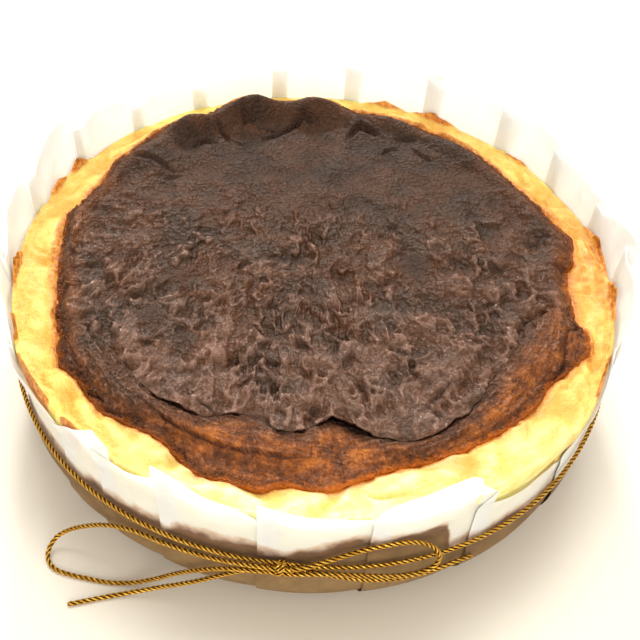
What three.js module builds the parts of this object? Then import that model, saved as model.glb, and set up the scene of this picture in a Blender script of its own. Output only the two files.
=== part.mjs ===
// A small Basque cheesecake, baked and sold in its parchment, tied round with a thin gold cord.
// Millimetres, +Z up. The cake stands on z = 0 with its axis on x = 0, y = 0, and its front faces -Y.
// Angles are in degrees, counted anticlockwise from +X as seen from above, so the front is at -90.
import * as THREE from "three";

// ---- driving dimensions -------------------------------------------------------------------------
const PAPER_RADIUS = 74.3; // outside of the parchment where the cord holds it
const PAPER_THICKNESS = 0.6;
const FIT_GAP = 0.3; // between the cake and the parchment
const CORNER_RADIUS = 13; // rounded bottom edge of the cake tin's shape
const RIM_HEIGHT = 36.5; // where the cake's wall ends and its pale rim begins
const COLLAR_HEIGHT = 50; // height at which the free edge of the parchment has its full flare
const FLARE_START = 26; // the wall is upright below this height and leans out above it
const RIM_FLARE = 1.2; // how far the wall leans out at RIM_HEIGHT
const COLLAR_FLARE = 3.0; // and at COLLAR_HEIGHT
const PLEAT_STEP = 0.6; // step at a pleat, low on the wall
const COLLAR_PLEAT_STEP = 2.2; // and along the free edge
const SAG_BULGE = 0.25; // swell of the sheet between two pleats, low on the wall
const COLLAR_BULGE = 1.2; // and along the free edge
const PLEAT_EDGE = 0.4; // half the angle that a pleat's step takes

const DISC_HEIGHT = 40.6; // middle of the browned top
const CRUST_EDGE_HEIGHT = 39.2; // where the browned crust ends
const CRUST_RADIUS = 65.6; // mean radius of the crust
const CRUST_SHIFT = 0.6; // the crust sits this far towards the front
const CRUST_STRETCH = 1.7; // and is longer by this much from front to back
const SHOULDER_HEIGHT = 37.6; // outer edge of the pale rim

const CORD_DIAMETER = 1.2;
const CORD_SIDES = 8;
const BAND_RADIUS = 75.6; // middle of the cord round the cake
const BAND_HEIGHT = 21;
const KNOT = { angle: -92.2, radius: 76.6, height: 21.9, along: 2.0, out: 1.6, up: 2.0 };

// Each pleat of the parchment: its angle, and the height of the free edge just after it and just
// before the next pleat, with the rise of the edge between the two.
const PLEATS = [
  { angle: -137, after: 35, before: 44.5, arch: 0 },
  { angle: -126.5, after: 39.2, before: 40.5, arch: -1 },
  { angle: -113.7, after: 47.2, before: 36, arch: 2 },
  { angle: -96.2, after: 44.8, before: 37.5, arch: 0.5 },
  { angle: -77.5, after: 39.5, before: 41, arch: 9.5 },
  { angle: -58.5, after: 32.6, before: 25, arch: 1.5 },
  { angle: -36, after: 28, before: 42, arch: 0.5 },
  { angle: -17, after: 43, before: 48, arch: 1 },
  { angle: 2, after: 50.5, before: 46.5, arch: 1.5 },
  { angle: 17, after: 46, before: 48, arch: 0 },
  { angle: 33, after: 48.5, before: 51, arch: 0.5 },
  { angle: 48, after: 49.5, before: 48, arch: 1 },
  { angle: 66, after: 52, before: 49.5, arch: 0 },
  { angle: 84, after: 48, before: 46.5, arch: 1 },
  { angle: 100, after: 46.5, before: 45, arch: 0.5 },
  { angle: 118, after: 43, before: 44.5, arch: 1.5 },
  { angle: 133, after: 44.5, before: 48, arch: 2 },
  { angle: 149, after: 49.5, before: 48, arch: 2.5 },
  { angle: 166, after: 46.5, before: 44, arch: 2.5 },
  { angle: 185, after: 45.5, before: 41, arch: 1.5 },
  { angle: 204, after: 42, before: 34.5, arch: 1 },
];

// Where the cake and its parchment sag outwards below the rim.
const SAGS = [
  { angle: -38, spread: 24, reach: 1.4 },
  { angle: -147, spread: 24, reach: 1.5 },
];

// The crust swells up into puffs along the back. Each has its angle, its distance from the crust's
// middle, its half width round the cake in degrees, its half width across and its height.
const PUFFS = [
  { angle: 111, radius: 65, spread: 14, across: 8, height: 7.0 },
  { angle: 127, radius: 64, spread: 10, across: 8, height: 4.8 },
  { angle: 94, radius: 64.5, spread: 12, across: 8, height: 5.2 },
  { angle: 141, radius: 58, spread: 11, across: 9, height: 2.6 },
  { angle: 74, radius: 62, spread: 12, across: 8, height: 2.0 },
  { angle: 55, radius: 60, spread: 12, across: 8, height: 1.2 },
  { angle: -68, radius: 45, spread: 18, across: 12, height: 1.4 },
];
const PUFF_AT_EDGE = 0.8; // the share of a puff's height that is left along the crust's edge

// The skin of the top has slid outwards over itself, and ends in a lip. It fades out towards the back.
const LIP_RADIUS = 52.5; // mean distance from the axis
const LIP_SHIFT = 1.9; // its ring sits this far towards the front
const LIP_RISE = 0.7; // how far the skin rises towards the lip
const LIP_RISE_START = 30; // and from what distance from the axis
const LIP_STEP = 1.0; // drop from the lip to the ring of crust outside it
// Where that drop is deeper.
const LIP_STEP_WAVES = [
  { angle: -80, spread: 10, reach: 1.3 },
  { angle: -57, spread: 16, reach: 0.6 },
  { angle: -122, spread: 9, reach: 0.5 },
];
const LIP_OVERHANG = 0.9;
const RING_ROLL = 1.3; // how high that ring is rounded up
const LIP_ANGLE = -82; // the middle of the stretch where the lip shows
const LIP_SPREAD = 78; // half the angle along which it shows
// Where the lip is drawn in towards the middle, or pushed out.
const LIP_WAVES = [
  { angle: -83, spread: 9, reach: -7.5 },
  { angle: -61, spread: 8, reach: 2.5 },
  { angle: -44, spread: 6, reach: 2 },
  { angle: -112, spread: 12, reach: 2.5 },
  { angle: -136, spread: 9, reach: -3 },
  { angle: 100, spread: 55, reach: 6 },
  { angle: -125, spread: 8, reach: 2.6 },
  { angle: -106, spread: 9, reach: -4 },
  { angle: -67, spread: 8, reach: 3 },
  { angle: -50.6, spread: 3.5, reach: 2.4 },
];

// Where the crust's edge runs out over the rim, or stops short of it.
const EDGE_WAVES = [
  { angle: -121, spread: 16, reach: -2.2 },
  { angle: -102, spread: 12, reach: 1.2 },
  { angle: -96.5, spread: 5, reach: 1.6 },
  { angle: -84.5, spread: 5, reach: 1.6 },
  { angle: -67, spread: 20, reach: -3.2 },
  { angle: -40, spread: 16, reach: -1.2 },
  { angle: 42, spread: 42, reach: 2.4 },
  { angle: 105, spread: 45, reach: 1.8 },
  { angle: 148, spread: 24, reach: 0.8 },
];
// A second, lower fold outside the lip at the front: its middle, its half angle, where it lies between
// the lip and the crust's edge, and its step.
const SECOND_FOLD = { angle: -101, spread: 30, share: 0.6, step: 1.0 };
const CRINKLE = 0.4; // how high the crinkles of the skin stand
const CRINKLE_START = 30; // they fade out inside this distance from the axis

// The pale rim is drawn in where a fold of the parchment pressed into it, and swells between folds.
const EXTRA_CREASES = [-84.5, -48];
const RIM_CREASES = PLEATS.map((p) => p.angle).concat(EXTRA_CREASES);
const CREASE_WIDTH = 2.4; // degrees
const CREASE_DEPTH = 1.1;
const RIM_SWELL = 0.9;
// Thin toasted fins of batter that rose between folds of the parchment: angle, half width, height.
const FINS = [
  { angle: 186, spread: 5, height: 1.6 },
  { angle: 197, spread: 6, height: 1.8 },
  { angle: 211, spread: 8, height: 2.4 },
  { angle: -137, spread: 4, height: 1.6 },
  { angle: 158, spread: 6, height: 2.2 },
  { angle: 66, spread: 6, height: 1.8 },
  { angle: 17, spread: 10, height: 2.6 },
  { angle: 0, spread: 6, height: 2.2 },
  { angle: -20, spread: 7, height: 1.8 },
];

// Routes of the free ends of the bow, each point as angle, distance from the axis and height.
const LEFT_LOOP = [
  [-94.0, 77.4, 22.6], [-96.2, 77.2, 22.2], [-99.0, 76.8, 21.3], [-102.8, 76.1, 19.8],
  [-107.6, 75.7, 18.6], [-113.1, 75.6, 17.6], [-119.0, 75.8, 16.5], [-124.0, 76.9, 14.0],
  [-128.3, 78.7, 10.0], [-131.3, 81.0, 6.2], [-132.5, 83.4, 3.6], [-132.2, 85.8, 1.9],
  [-131.1, 87.4, 1.0], [-129.3, 87.8, 0.7], [-126.9, 86.5, 0.65], [-124.3, 84.6, 0.65],
  [-121.3, 82.5, 0.65], [-117.8, 79.7, 1.3], [-114.0, 77.4, 4.2], [-110.3, 76.4, 8.6],
  [-106.6, 76.4, 13.0], [-102.6, 76.7, 17.0], [-99.0, 77.1, 19.5], [-96.2, 77.4, 20.7],
  [-94.0, 77.4, 21.1],
];
const LEFT_TAIL = [
  [-94.0, 75.9, 21.1], [-95.0, 75.8, 20.3], [-96.2, 75.8, 19.4], [-97.6, 75.8, 18.1],
  [-99.1, 75.8, 16.6], [-102.1, 75.9, 13.5], [-105.4, 76.7, 10.4], [-108.8, 77.5, 7.2],
  [-112.2, 78.7, 4.4], [-113.8, 79.6, 3.2], [-115.3, 80.7, 2.2], [-116.7, 81.9, 1.5],
  [-117.9, 83.2, 1.0], [-120.1, 86.3, 0.65], [-121.8, 89.3, 0.65], [-123.3, 92.2, 0.65],
];
const RIGHT_LOOP = [
  [-90.4, 77.4, 22.6], [-88.4, 77.2, 23.4], [-86.0, 76.7, 24.5], [-83.4, 76.2, 25.7],
  [-80.9, 76.0, 27.1], [-78.5, 76.0, 28.3], [-75.7, 76.0, 29.0], [-72.7, 76.0, 29.1],
  [-69.9, 76.1, 28.4], [-67.6, 76.5, 26.8], [-66.1, 77.1, 24.6], [-65.5, 77.5, 22.0],
  [-66.1, 77.6, 19.5], [-68.0, 77.5, 18.0], [-71.0, 77.3, 17.8], [-75.8, 77.2, 19.2],
  [-80.6, 77.2, 20.8], [-84.8, 77.3, 21.6], [-88.0, 77.4, 21.5], [-90.4, 77.4, 21.1],
];
const RIGHT_TAIL = [
  [-90.4, 75.9, 21.1], [-89.2, 75.8, 20.6], [-88.0, 75.7, 20.0], [-86.5, 75.6, 19.5],
  [-85.0, 75.6, 18.9], [-82.2, 75.6, 17.7], [-79.2, 75.6, 16.4], [-77.3, 75.6, 15.6],
  [-75.4, 75.6, 15.0], [-73.3, 75.6, 14.5], [-71.2, 75.6, 14.2], [-67.2, 75.6, 13.9],
  [-63.8, 75.6, 14.0], [-60.6, 75.6, 14.1], [-57.5, 75.6, 13.8],
];

// ---- resolution ---------------------------------------------------------------------------------
const SAMPLES_PER_PLEAT = 6; // round the cake, from one pleat to the next
const TUBE_STEP = 3.6; // along a free cord
const BAND_STEPS = 90;

// ---- small helpers ------------------------------------------------------------------------------
const rad = (degrees) => (degrees * Math.PI) / 180;
const lerp = (a, b, t) => a + (b - a) * t;
const clamp01 = (t) => Math.min(1, Math.max(0, t));

function smooth(t) {
  const c = clamp01(t);
  return c * c * (3 - 2 * c);
}

// Signed angle from b to a, between -180 and 180 degrees.
function turn(a, b) {
  return ((((a - b + 180) % 360) + 360) % 360) - 180;
}

// A round bump, 1 in the middle and 0 from one half width away.
function bump(distance, halfWidth) {
  const t = Math.abs(distance) / halfWidth;
  return t >= 1 ? 0 : Math.cos((t * Math.PI) / 2) ** 2;
}

// The sum of the waves of a list at an angle, each a bump of its own reach.
function waves(list, angle) {
  return list.reduce((sum, w) => sum + w.reach * bump(turn(angle, w.angle), w.spread), 0);
}

function polar(angle, radius, height) {
  return new THREE.Vector3(radius * Math.cos(rad(angle)), radius * Math.sin(rad(angle)), height);
}

// ---- the parchment's shape ----------------------------------------------------------------------
// Which pleat an angle lies after, and how far along it is to the next one, from 0 to 1.
function placeBetweenPleats(angle) {
  for (let i = 0; i < PLEATS.length; i++) {
    const start = PLEATS[i].angle;
    const span = i + 1 < PLEATS.length ? PLEATS[i + 1].angle - start : PLEATS[0].angle + 360 - start;
    const along = (((angle - start) % 360) + 360) % 360;
    if (along < span) return { pleat: PLEATS[i], share: along / span };
  }
  return { pleat: PLEATS[0], share: 0 };
}

function collarEdge(angle) {
  const { pleat, share } = placeBetweenPleats(angle);
  const tongue = Math.sqrt(Math.max(0, Math.sin(Math.PI * share)));
  return lerp(pleat.after, pleat.before, share) + pleat.arch * tongue;
}

// Outside radius of the parchment: a wall that flares upwards, with a step at each pleat and a swell
// between pleats, both stronger along the free edge.
function paperRadius(angle, height) {
  const { share } = placeBetweenPleats(angle);
  const low = smooth((height - FLARE_START) / (RIM_HEIGHT - FLARE_START));
  const high = clamp01((height - RIM_HEIGHT) / (COLLAR_HEIGHT - RIM_HEIGHT));
  const flare = (RIM_FLARE + waves(SAGS, angle)) * low + (COLLAR_FLARE - RIM_FLARE) * high;
  const step = lerp(PLEAT_STEP, COLLAR_PLEAT_STEP, high);
  const swell = lerp(SAG_BULGE, COLLAR_BULGE, high);
  return PAPER_RADIUS + flare + step * (0.5 - share) + swell * Math.sin(Math.PI * share);
}

// Stations down the wall and round the bottom edge, as radius and height, inset from the outside.
const WALL_HEIGHTS = [RIM_HEIGHT, FLARE_START + 3, CORNER_RADIUS];
const CORNER_ANGLES = [30, 60, 90];

function wallStations(angle, inset) {
  const centre = paperRadius(angle, CORNER_RADIUS) - CORNER_RADIUS;
  const radius = CORNER_RADIUS - inset;
  const wall = WALL_HEIGHTS.map((height) => [paperRadius(angle, height) - inset, height]);
  const corner = CORNER_ANGLES.map((a) => [
    centre + radius * Math.cos(rad(a)),
    CORNER_RADIUS - radius * Math.sin(rad(a)),
  ]);
  return wall.concat(corner);
}

// ---- the cake's shape ---------------------------------------------------------------------------
function creaseAt(angle) {
  return Math.max(...RIM_CREASES.map((c) => Math.exp(-((turn(angle, c) / CREASE_WIDTH) ** 2))));
}

// Distance from the axis to the edge of the browned crust, which is a wavy oval.
function crustEdge(angle) {
  const oval = -CRUST_SHIFT * Math.sin(rad(angle)) - CRUST_STRETCH * Math.cos(rad(2 * angle));
  return CRUST_RADIUS + oval + waves(EDGE_WAVES, angle) + 0.3 * Math.sin(rad(13 * angle));
}

function lipStrength(angle) {
  return smooth(bump(turn(angle, LIP_ANGLE), LIP_SPREAD) * 2.2);
}

function lipDrop(angle) {
  return (LIP_STEP + waves(LIP_STEP_WAVES, angle)) * lipStrength(angle);
}

function lipRadius(angle) {
  return LIP_RADIUS - LIP_SHIFT * Math.sin(rad(angle)) + waves(LIP_WAVES, angle);
}

function puffs(angle, radius) {
  return PUFFS.reduce((sum, p) => {
    return sum + p.height * bump(turn(angle, p.angle), p.spread) * bump(radius - p.radius, p.across);
  }, 0);
}

// Crinkles of the skin: two sets of bent waves that cross, so that short ridges stand at a slant.
function crinkle(angle, radius) {
  const x = radius * Math.cos(rad(angle));
  const y = radius * Math.sin(rad(angle));
  const slant = 0.78 * x + 0.34 * y + 1.4 * Math.sin(0.19 * y + 0.6);
  const cross = 0.22 * x - 0.6 * y + 1.6 * Math.sin(0.17 * x);
  const height = Math.sin(slant) * Math.cos(0.6 * cross) + 0.6 * Math.sin(cross + 0.4 * slant);
  return CRINKLE * height * smooth(radius / CRINKLE_START);
}

// The top inside the lip: nearly flat, raised along the lip, and crinkled.
function discHeight(angle, radius) {
  const rise = smooth((radius - LIP_RISE_START) / (LIP_RADIUS - LIP_RISE_START));
  const raised = LIP_RISE * rise * lipStrength(angle);
  const billow = 0.5 * Math.sin(rad(2 * angle + 40)) * smooth(radius / 40);
  return DISC_HEIGHT + raised + billow + crinkle(angle, radius) + puffs(angle, radius);
}

// The ring of crust outside the lip: a soft roll with a second fold, that turns down to its edge.
function ringHeight(angle, share, radius) {
  const start = discHeight(angle, lipRadius(angle)) - lipDrop(angle);
  const roll = RING_ROLL * Math.sin(Math.PI * Math.min(1, share * 1.1));
  const fold = share < SECOND_FOLD.share ? 0 : SECOND_FOLD.step;
  const step = fold * bump(turn(angle, SECOND_FOLD.angle), SECOND_FOLD.spread);
  const down = smooth((share - 0.45) / 0.55);
  const puff = puffs(angle, radius);
  const swell = puff - puffs(angle, lipRadius(angle));
  const height = lerp(start + roll + swell, CRUST_EDGE_HEIGHT + PUFF_AT_EDGE * puff, down);
  return height - step * (1 - smooth((share - SECOND_FOLD.share) / (1 - SECOND_FOLD.share)));
}

function finHeight(angle) {
  return FINS.reduce((sum, f) => sum + f.height * bump(turn(angle, f.angle), f.spread), 0);
}

// Stations across the top, as radius and height, from near the middle to the top of the wall.
const DISC_SHARES = [0.12, 0.26, 0.4, 0.52, 0.63, 0.73, 0.82, 0.9, 0.96, 1];
const RING_SHARES = [0.12, 0.36, 0.56, 0.62, 0.84, 1];
const RIM_SHARES = [0.14, 0.36, 0.62, 0.86];

function topStations(angle) {
  const lip = lipRadius(angle);
  const edge = crustEdge(angle);
  const wall = paperRadius(angle, RIM_HEIGHT) - PAPER_THICKNESS - FIT_GAP;
  const strength = lipStrength(angle);
  const disc = DISC_SHARES.map((share) => [lip * share, discHeight(angle, lip * share)]);
  const underLip = [
    lip - LIP_OVERHANG * strength + 0.7 * (1 - strength),
    discHeight(angle, lip) - lipDrop(angle),
  ];
  const ring = RING_SHARES.map((share) => {
    const radius = lerp(lip, edge, share);
    return [radius, ringHeight(angle, share, radius)];
  });
  const edgeHeight = ring[ring.length - 1][1];
  const shoulder = SHOULDER_HEIGHT + finHeight(angle);
  const dip = CREASE_DEPTH * creaseAt(angle);
  const rim = RIM_SHARES.map((share) => {
    const pillow = (RIM_SWELL - dip) * Math.sin(Math.PI * share);
    return [lerp(edge, wall, share), lerp(edgeHeight, shoulder, smooth(share)) + pillow];
  });
  const outer = [wall - 0.35, shoulder - 0.4];
  return disc.concat([underLip], ring, rim, [outer]);
}

// ---- solids -------------------------------------------------------------------------------------
// The angles at which both the cake and the parchment are sampled, closest at the pleats' steps.
function sampleAngles() {
  const angles = [];
  PLEATS.forEach((pleat, i) => {
    const next = i + 1 < PLEATS.length ? PLEATS[i + 1].angle : PLEATS[0].angle + 360;
    const from = pleat.angle + PLEAT_EDGE;
    const to = next - PLEAT_EDGE;
    for (let k = 0; k < SAMPLES_PER_PLEAT; k++) {
      angles.push(lerp(from, to, k / (SAMPLES_PER_PLEAT - 1)));
    }
  });
  return angles;
}

// One closed surface through rings of stations, with a pole in the middle of the first and the last.
// profile(angle) gives the stations as radius and height, upper or inner ones first.
function ringSolid(profile, firstPole, lastPole) {
  const angles = sampleAngles();
  const columns = angles.map((angle) => profile(angle).map(([r, z]) => polar(angle, r, z)));
  const rings = columns[0].length;
  const count = angles.length;
  const positions = [0, 0, firstPole];
  for (let ring = 0; ring < rings; ring++) {
    columns.forEach((column) => positions.push(...column[ring].toArray()));
  }
  positions.push(0, 0, lastPole);
  const at = (ring, k) => 1 + ring * count + (k % count);
  const last = 1 + rings * count;
  const index = [];
  for (let k = 0; k < count; k++) {
    index.push(0, at(0, k), at(0, k + 1));
    for (let ring = 0; ring + 1 < rings; ring++) {
      index.push(at(ring, k), at(ring + 1, k), at(ring + 1, k + 1));
      index.push(at(ring, k), at(ring + 1, k + 1), at(ring, k + 1));
    }
    index.push(last, at(rings - 1, k + 1), at(rings - 1, k));
  }
  const geometry = new THREE.BufferGeometry();
  geometry.setAttribute("position", new THREE.Float32BufferAttribute(positions, 3));
  geometry.setIndex(index);
  geometry.computeVertexNormals();
  return geometry;
}

function cakeGeometry() {
  const inset = PAPER_THICKNESS + FIT_GAP;
  const profile = (angle) => topStations(angle).concat(wallStations(angle, inset));
  return ringSolid(profile, discHeight(0, 0), inset);
}

function paperGeometry() {
  const profile = (angle) => {
    const top = collarEdge(angle);
    const outside = paperRadius(angle, top);
    const inner = wallStations(angle, PAPER_THICKNESS).reverse();
    const edge = [
      [outside - PAPER_THICKNESS, top],
      [outside, top],
    ];
    // Where the free edge is lower than the rim, the top station takes its place.
    const cap = ([r, z]) => (z > top - 1 ? [r, top - 1] : [r, z]);
    return inner.map(cap).concat(edge, wallStations(angle, 0).map(cap));
  };
  return ringSolid(profile, PAPER_THICKNESS, 0);
}

function cordSection() {
  const shape = new THREE.Shape();
  for (let k = 0; k < CORD_SIDES; k++) {
    const a = (2 * Math.PI * (k + 0.5)) / CORD_SIDES;
    const x = (CORD_DIAMETER / 2) * Math.cos(a);
    const y = (CORD_DIAMETER / 2) * Math.sin(a);
    if (k === 0) shape.moveTo(x, y);
    else shape.lineTo(x, y);
  }
  shape.closePath();
  return shape;
}

function tubeGeometry(curve, steps) {
  return new THREE.ExtrudeGeometry(cordSection(), { steps, curveSegments: 1, extrudePath: curve });
}

function freeCordGeometry(route) {
  const curve = new THREE.CatmullRomCurve3(route.map(([a, r, z]) => polar(a, r, z)), false, "centripetal");
  return tubeGeometry(curve, Math.round(curve.getLength() / TUBE_STEP));
}

// The cord round the cake: it rises and falls a little, and runs up into the knot at both ends.
function bandGeometry() {
  const margin = 1.8; // angle between the knot's middle and the cord's ends
  const from = KNOT.angle + margin;
  const to = KNOT.angle + 360 - margin;
  const points = [];
  for (let k = 0; k <= BAND_STEPS; k++) {
    const angle = lerp(from, to, k / BAND_STEPS);
    const near = Math.exp(-((Math.min(angle - from, to - angle) / 2) ** 2));
    const wave = BAND_HEIGHT + 0.9 * Math.cos(rad(4 * (angle + 98)));
    points.push(polar(angle, BAND_RADIUS + 0.25 * near, lerp(wave, KNOT.height + 0.7, near)));
  }
  return tubeGeometry(new THREE.CatmullRomCurve3(points), BAND_STEPS);
}

// The knot: a small lump with two turns of the cord showing as ridges round it.
function knotGeometry() {
  const geometry = new THREE.SphereGeometry(1, 16, 12);
  geometry.deleteAttribute("normal");
  geometry.deleteAttribute("uv");
  const p = geometry.getAttribute("position");
  for (let i = 0; i < p.count; i++) {
    const ridge = 1 + 0.08 * Math.cos(5 * p.getX(i) + 1.5 * p.getZ(i));
    p.setXYZ(i, p.getX(i) * KNOT.along * ridge, p.getY(i) * KNOT.out * ridge, p.getZ(i) * KNOT.up * ridge);
  }
  return geometry;
}

// ---- materials ----------------------------------------------------------------------------------
const crustMaterial = new THREE.MeshStandardMaterial({ color: 0x5e4a3e, roughness: 0.55, metalness: 0 });
const paperMaterial = new THREE.MeshStandardMaterial({ color: 0xf6efdf, roughness: 0.6, metalness: 0 });
const cordMaterial = new THREE.MeshStandardMaterial({ color: 0xc9a53a, roughness: 0.35, metalness: 0.8 });

// ---- assembly -----------------------------------------------------------------------------------
const part = new THREE.Group();

function addPiece(name, geometry, material) {
  const mesh = new THREE.Mesh(geometry, material);
  mesh.name = name;
  part.add(mesh);
  return mesh;
}

addPiece("cheesecake", cakeGeometry(), crustMaterial);
addPiece("paper_case", paperGeometry(), paperMaterial);
addPiece("cord_band", bandGeometry(), cordMaterial);
addPiece("bow_loop_left", freeCordGeometry(LEFT_LOOP), cordMaterial);
addPiece("bow_loop_right", freeCordGeometry(RIGHT_LOOP), cordMaterial);
addPiece("bow_tail_left", freeCordGeometry(LEFT_TAIL), cordMaterial);
addPiece("bow_tail_right", freeCordGeometry(RIGHT_TAIL), cordMaterial);

const knot = addPiece("cord_knot", knotGeometry(), cordMaterial);
knot.position.copy(polar(KNOT.angle, KNOT.radius, KNOT.height));
knot.rotation.z = rad(KNOT.angle + 90);

export default part;
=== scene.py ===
"""A small Basque cheesecake standing in its pleated baking parchment, tied round with a thin gold cord.

Shapes are worked out in millimetres in the frame of the solids: +Z up, the cake standing on z = 0 with its
axis on x = 0, y = 0 and its front towards -Y. Angles are in degrees, anticlockwise from +X as seen from
above. Only make_piece, the camera and the lights turn millimetres into metres.
"""

import bpy
import numpy as np
from mathutils import Matrix


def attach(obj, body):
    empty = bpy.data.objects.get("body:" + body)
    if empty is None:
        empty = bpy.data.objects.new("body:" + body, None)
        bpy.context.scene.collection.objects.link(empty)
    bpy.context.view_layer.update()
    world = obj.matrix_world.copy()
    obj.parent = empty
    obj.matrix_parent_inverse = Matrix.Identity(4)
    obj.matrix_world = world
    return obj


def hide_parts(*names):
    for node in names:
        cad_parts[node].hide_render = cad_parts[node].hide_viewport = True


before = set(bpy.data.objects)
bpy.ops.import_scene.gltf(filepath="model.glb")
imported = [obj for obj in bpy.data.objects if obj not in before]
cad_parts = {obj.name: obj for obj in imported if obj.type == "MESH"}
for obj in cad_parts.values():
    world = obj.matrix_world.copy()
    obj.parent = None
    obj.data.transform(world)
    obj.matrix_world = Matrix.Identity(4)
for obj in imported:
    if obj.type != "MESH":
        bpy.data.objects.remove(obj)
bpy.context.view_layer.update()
MM = 0.001

# ---- driving dimensions: those of the solids, with a sharper lip, folds and creases ----
PAPER_RADIUS = 74.3  # outside of the parchment where the cord holds it
CORNER_RADIUS = 13.0  # rounded bottom edge
RIM_HEIGHT = 36.5  # where the wall ends and the pale rim begins
COLLAR_HEIGHT = 50.0  # where the free edge of the parchment has its full flare
FLARE_START = 26.0  # the wall is upright below this height and leans out above it
RIM_FLARE = 1.2  # how far it leans out at RIM_HEIGHT
COLLAR_FLARE = 3.0  # and at COLLAR_HEIGHT
PLEAT_STEP = 0.6  # step at a pleat, low on the wall
COLLAR_PLEAT_STEP = 2.2  # and along the free edge
SAG_BULGE = 0.25  # swell of the sheet between two pleats, low on the wall
COLLAR_BULGE = 1.2  # and along the free edge
CAKE_INSET = 0.9  # from the outside of the parchment to the cake

DISC_HEIGHT = 40.6  # middle of the browned top
CRUST_EDGE_HEIGHT = 39.2  # where the browned crust ends
SHOULDER_HEIGHT = 37.6  # outer edge of the pale rim

CORD_DIAMETER = 1.2
BAND_RADIUS = 75.6  # middle of the cord round the cake
BAND_HEIGHT = 21.0
KNOT_ANGLE = -92.2
KNOT_RADIUS = 76.6
KNOT_HEIGHT = 21.9

# Each pleat: its angle, the height of the free edge just after it and just before the next pleat, and
# the rise of the edge between the two.
PLEATS = np.array([
    (-137, 35, 44.5, 0), (-126.5, 39.2, 40.5, -1), (-113.7, 47.2, 36, 2), (-96.2, 44.8, 37.5, 0.5),
    (-77.5, 39.5, 41, 9.5), (-58.5, 32.6, 25, 1.5), (-36, 28, 42, 0.5), (-17, 43, 48, 1),
    (2, 50.5, 46.5, 1.5), (17, 46, 48, 0), (33, 48.5, 51, 0.5), (48, 49.5, 48, 1), (66, 52, 49.5, 0),
    (84, 48, 46.5, 1), (100, 46.5, 45, 0.5), (118, 43, 44.5, 1.5), (133, 44.5, 48, 2),
    (149, 49.5, 48, 2.5), (166, 46.5, 44, 2.5), (185, 45.5, 41, 1.5), (204, 42, 34.5, 1),
])
PLEAT_ANGLE, EDGE_AFTER, EDGE_BEFORE, EDGE_ARCH = PLEATS.T
NEXT_PLEAT = np.append(PLEAT_ANGLE[1:], PLEAT_ANGLE[0] + 360)

# Where the cake and its parchment sag outwards below the rim: angle, half width and reach.
SAGS = [(-38, 24, 1.4), (-147, 24, 1.5)]
# The outline of the browned crust and the line of the lip across its front: angle and distance.
EDGE_LINE = np.array([
    (-179, 64.2), (-166.7, 63.4), (-153.5, 66), (-145.9, 68.3), (-137.2, 67.7), (-131.9, 68.2),
    (-125.3, 66.5), (-118.1, 65.2), (-112.4, 68.5), (-107.2, 70.4), (-103.2, 69), (-96.9, 69.7),
    (-93.3, 67.2), (-84.3, 68.4), (-80, 65.6), (-73.2, 64), (-62.5, 64), (-50.2, 64.4), (-45.6, 65.4),
    (-39.5, 65.5), (-30.6, 64.5), (-23, 67.2), (-18.9, 69.6), (-13.1, 69.1), (-11.3, 66.2), (-8.9, 64.8),
    (-1.1, 62.6), (4.8, 63), (9.8, 66.2), (17.1, 68.8), (21, 66.2), (32.7, 65.1), (41.2, 65), (57.6, 66.5),
    (76.6, 66.2), (88, 67), (100, 67.8), (118, 67.2), (127, 67.1), (133.2, 68.6), (140.2, 67.7), (149.7, 66),
    (158, 63.9), (169.6, 66),
]).T
LIP_LINE = np.array([
    (-180, 60), (-150, 58.5), (-136, 57.5), (-125.4, 57.1), (-121, 56.2), (-115, 55.8), (-112, 55.2),
    (-110.5, 53.8), (-107, 52), (-101, 50.9), (-98, 53.1), (-96, 54), (-93.5, 52.8), (-91, 53.8), (-86, 49.6),
    (-84, 48.4), (-82, 47.9), (-79, 50), (-76, 52.9), (-72, 55.6), (-67, 58.1), (-61, 58.3), (-58, 57.6),
    (-53.5, 56), (-50.4, 57.4), (-48, 56), (-43, 55.1), (-36, 53.5), (-28, 53.3), (-10, 55), (20, 57),
    (90, 58),
]).T
# Toasted fins along the rim's outer edge: angle, half width and height.
FINS = [
    (185, 4.5, 4.4), (201, 4, 4.4), (214, 7, 4.2), (227, 3, 2.6), (153, 3, 2.8), (160, 4, 2.8), (66, 6, 2.2),
    (14, 7, 3.4), (-1, 6, 4), (-21, 6, 3.2), (78, 5, 1.8), (45, 5, 1.6),
]
# Puffs of the crust: angle, radius, half width round the cake, half width across, height.
PUFFS = [
    (111, 65, 14, 8, 7.0), (127, 64, 10, 8, 4.8), (94, 64.5, 12, 8, 5.2), (141, 58, 11, 9, 2.6),
    (74, 62, 12, 8, 2.0), (55, 60, 12, 8, 1.2), (-68, 45, 18, 12, 1.4),
]
PUFF_AT_EDGE = 0.8  # the share of a puff's height that is left along the crust's edge
LIP_RISE = 0.7  # how far the skin rises towards the lip
LIP_RISE_START = 30.0  # from what distance from the axis
LIP_RISE_END = 54.0  # and to what distance
LIP_STEP = 0.7  # drop from the lip to the ring of crust outside it
LIP_STEPS = [(-80, 10, 2.0), (-57, 16, 0.6), (-122, 9, 0.7)]  # where its drop is deeper
LIP_THICKNESS = 0.7
RING_ROLL = 1.3  # how high that ring is rounded up
SECOND_FOLD_ANGLE = -107.0  # middle of the second fold, which lies in the ring
SECOND_FOLD_SPREAD = 24.0  # half the angle along which it shows
SECOND_FOLD_RADIUS = 61.0
SECOND_FOLD_SHARE = 0.6  # how far across the ring its step begins to close up again
SECOND_FOLD_STEP = 1.4  # its drop
EXTRA_CREASES = (-84.5, -48)
RIM_CREASES = np.append(PLEAT_ANGLE, EXTRA_CREASES)
CREASE_WIDTH = 2.4  # degrees
CREASE_DEPTH = 1.5
RIM_SWELL = 0.9

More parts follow.
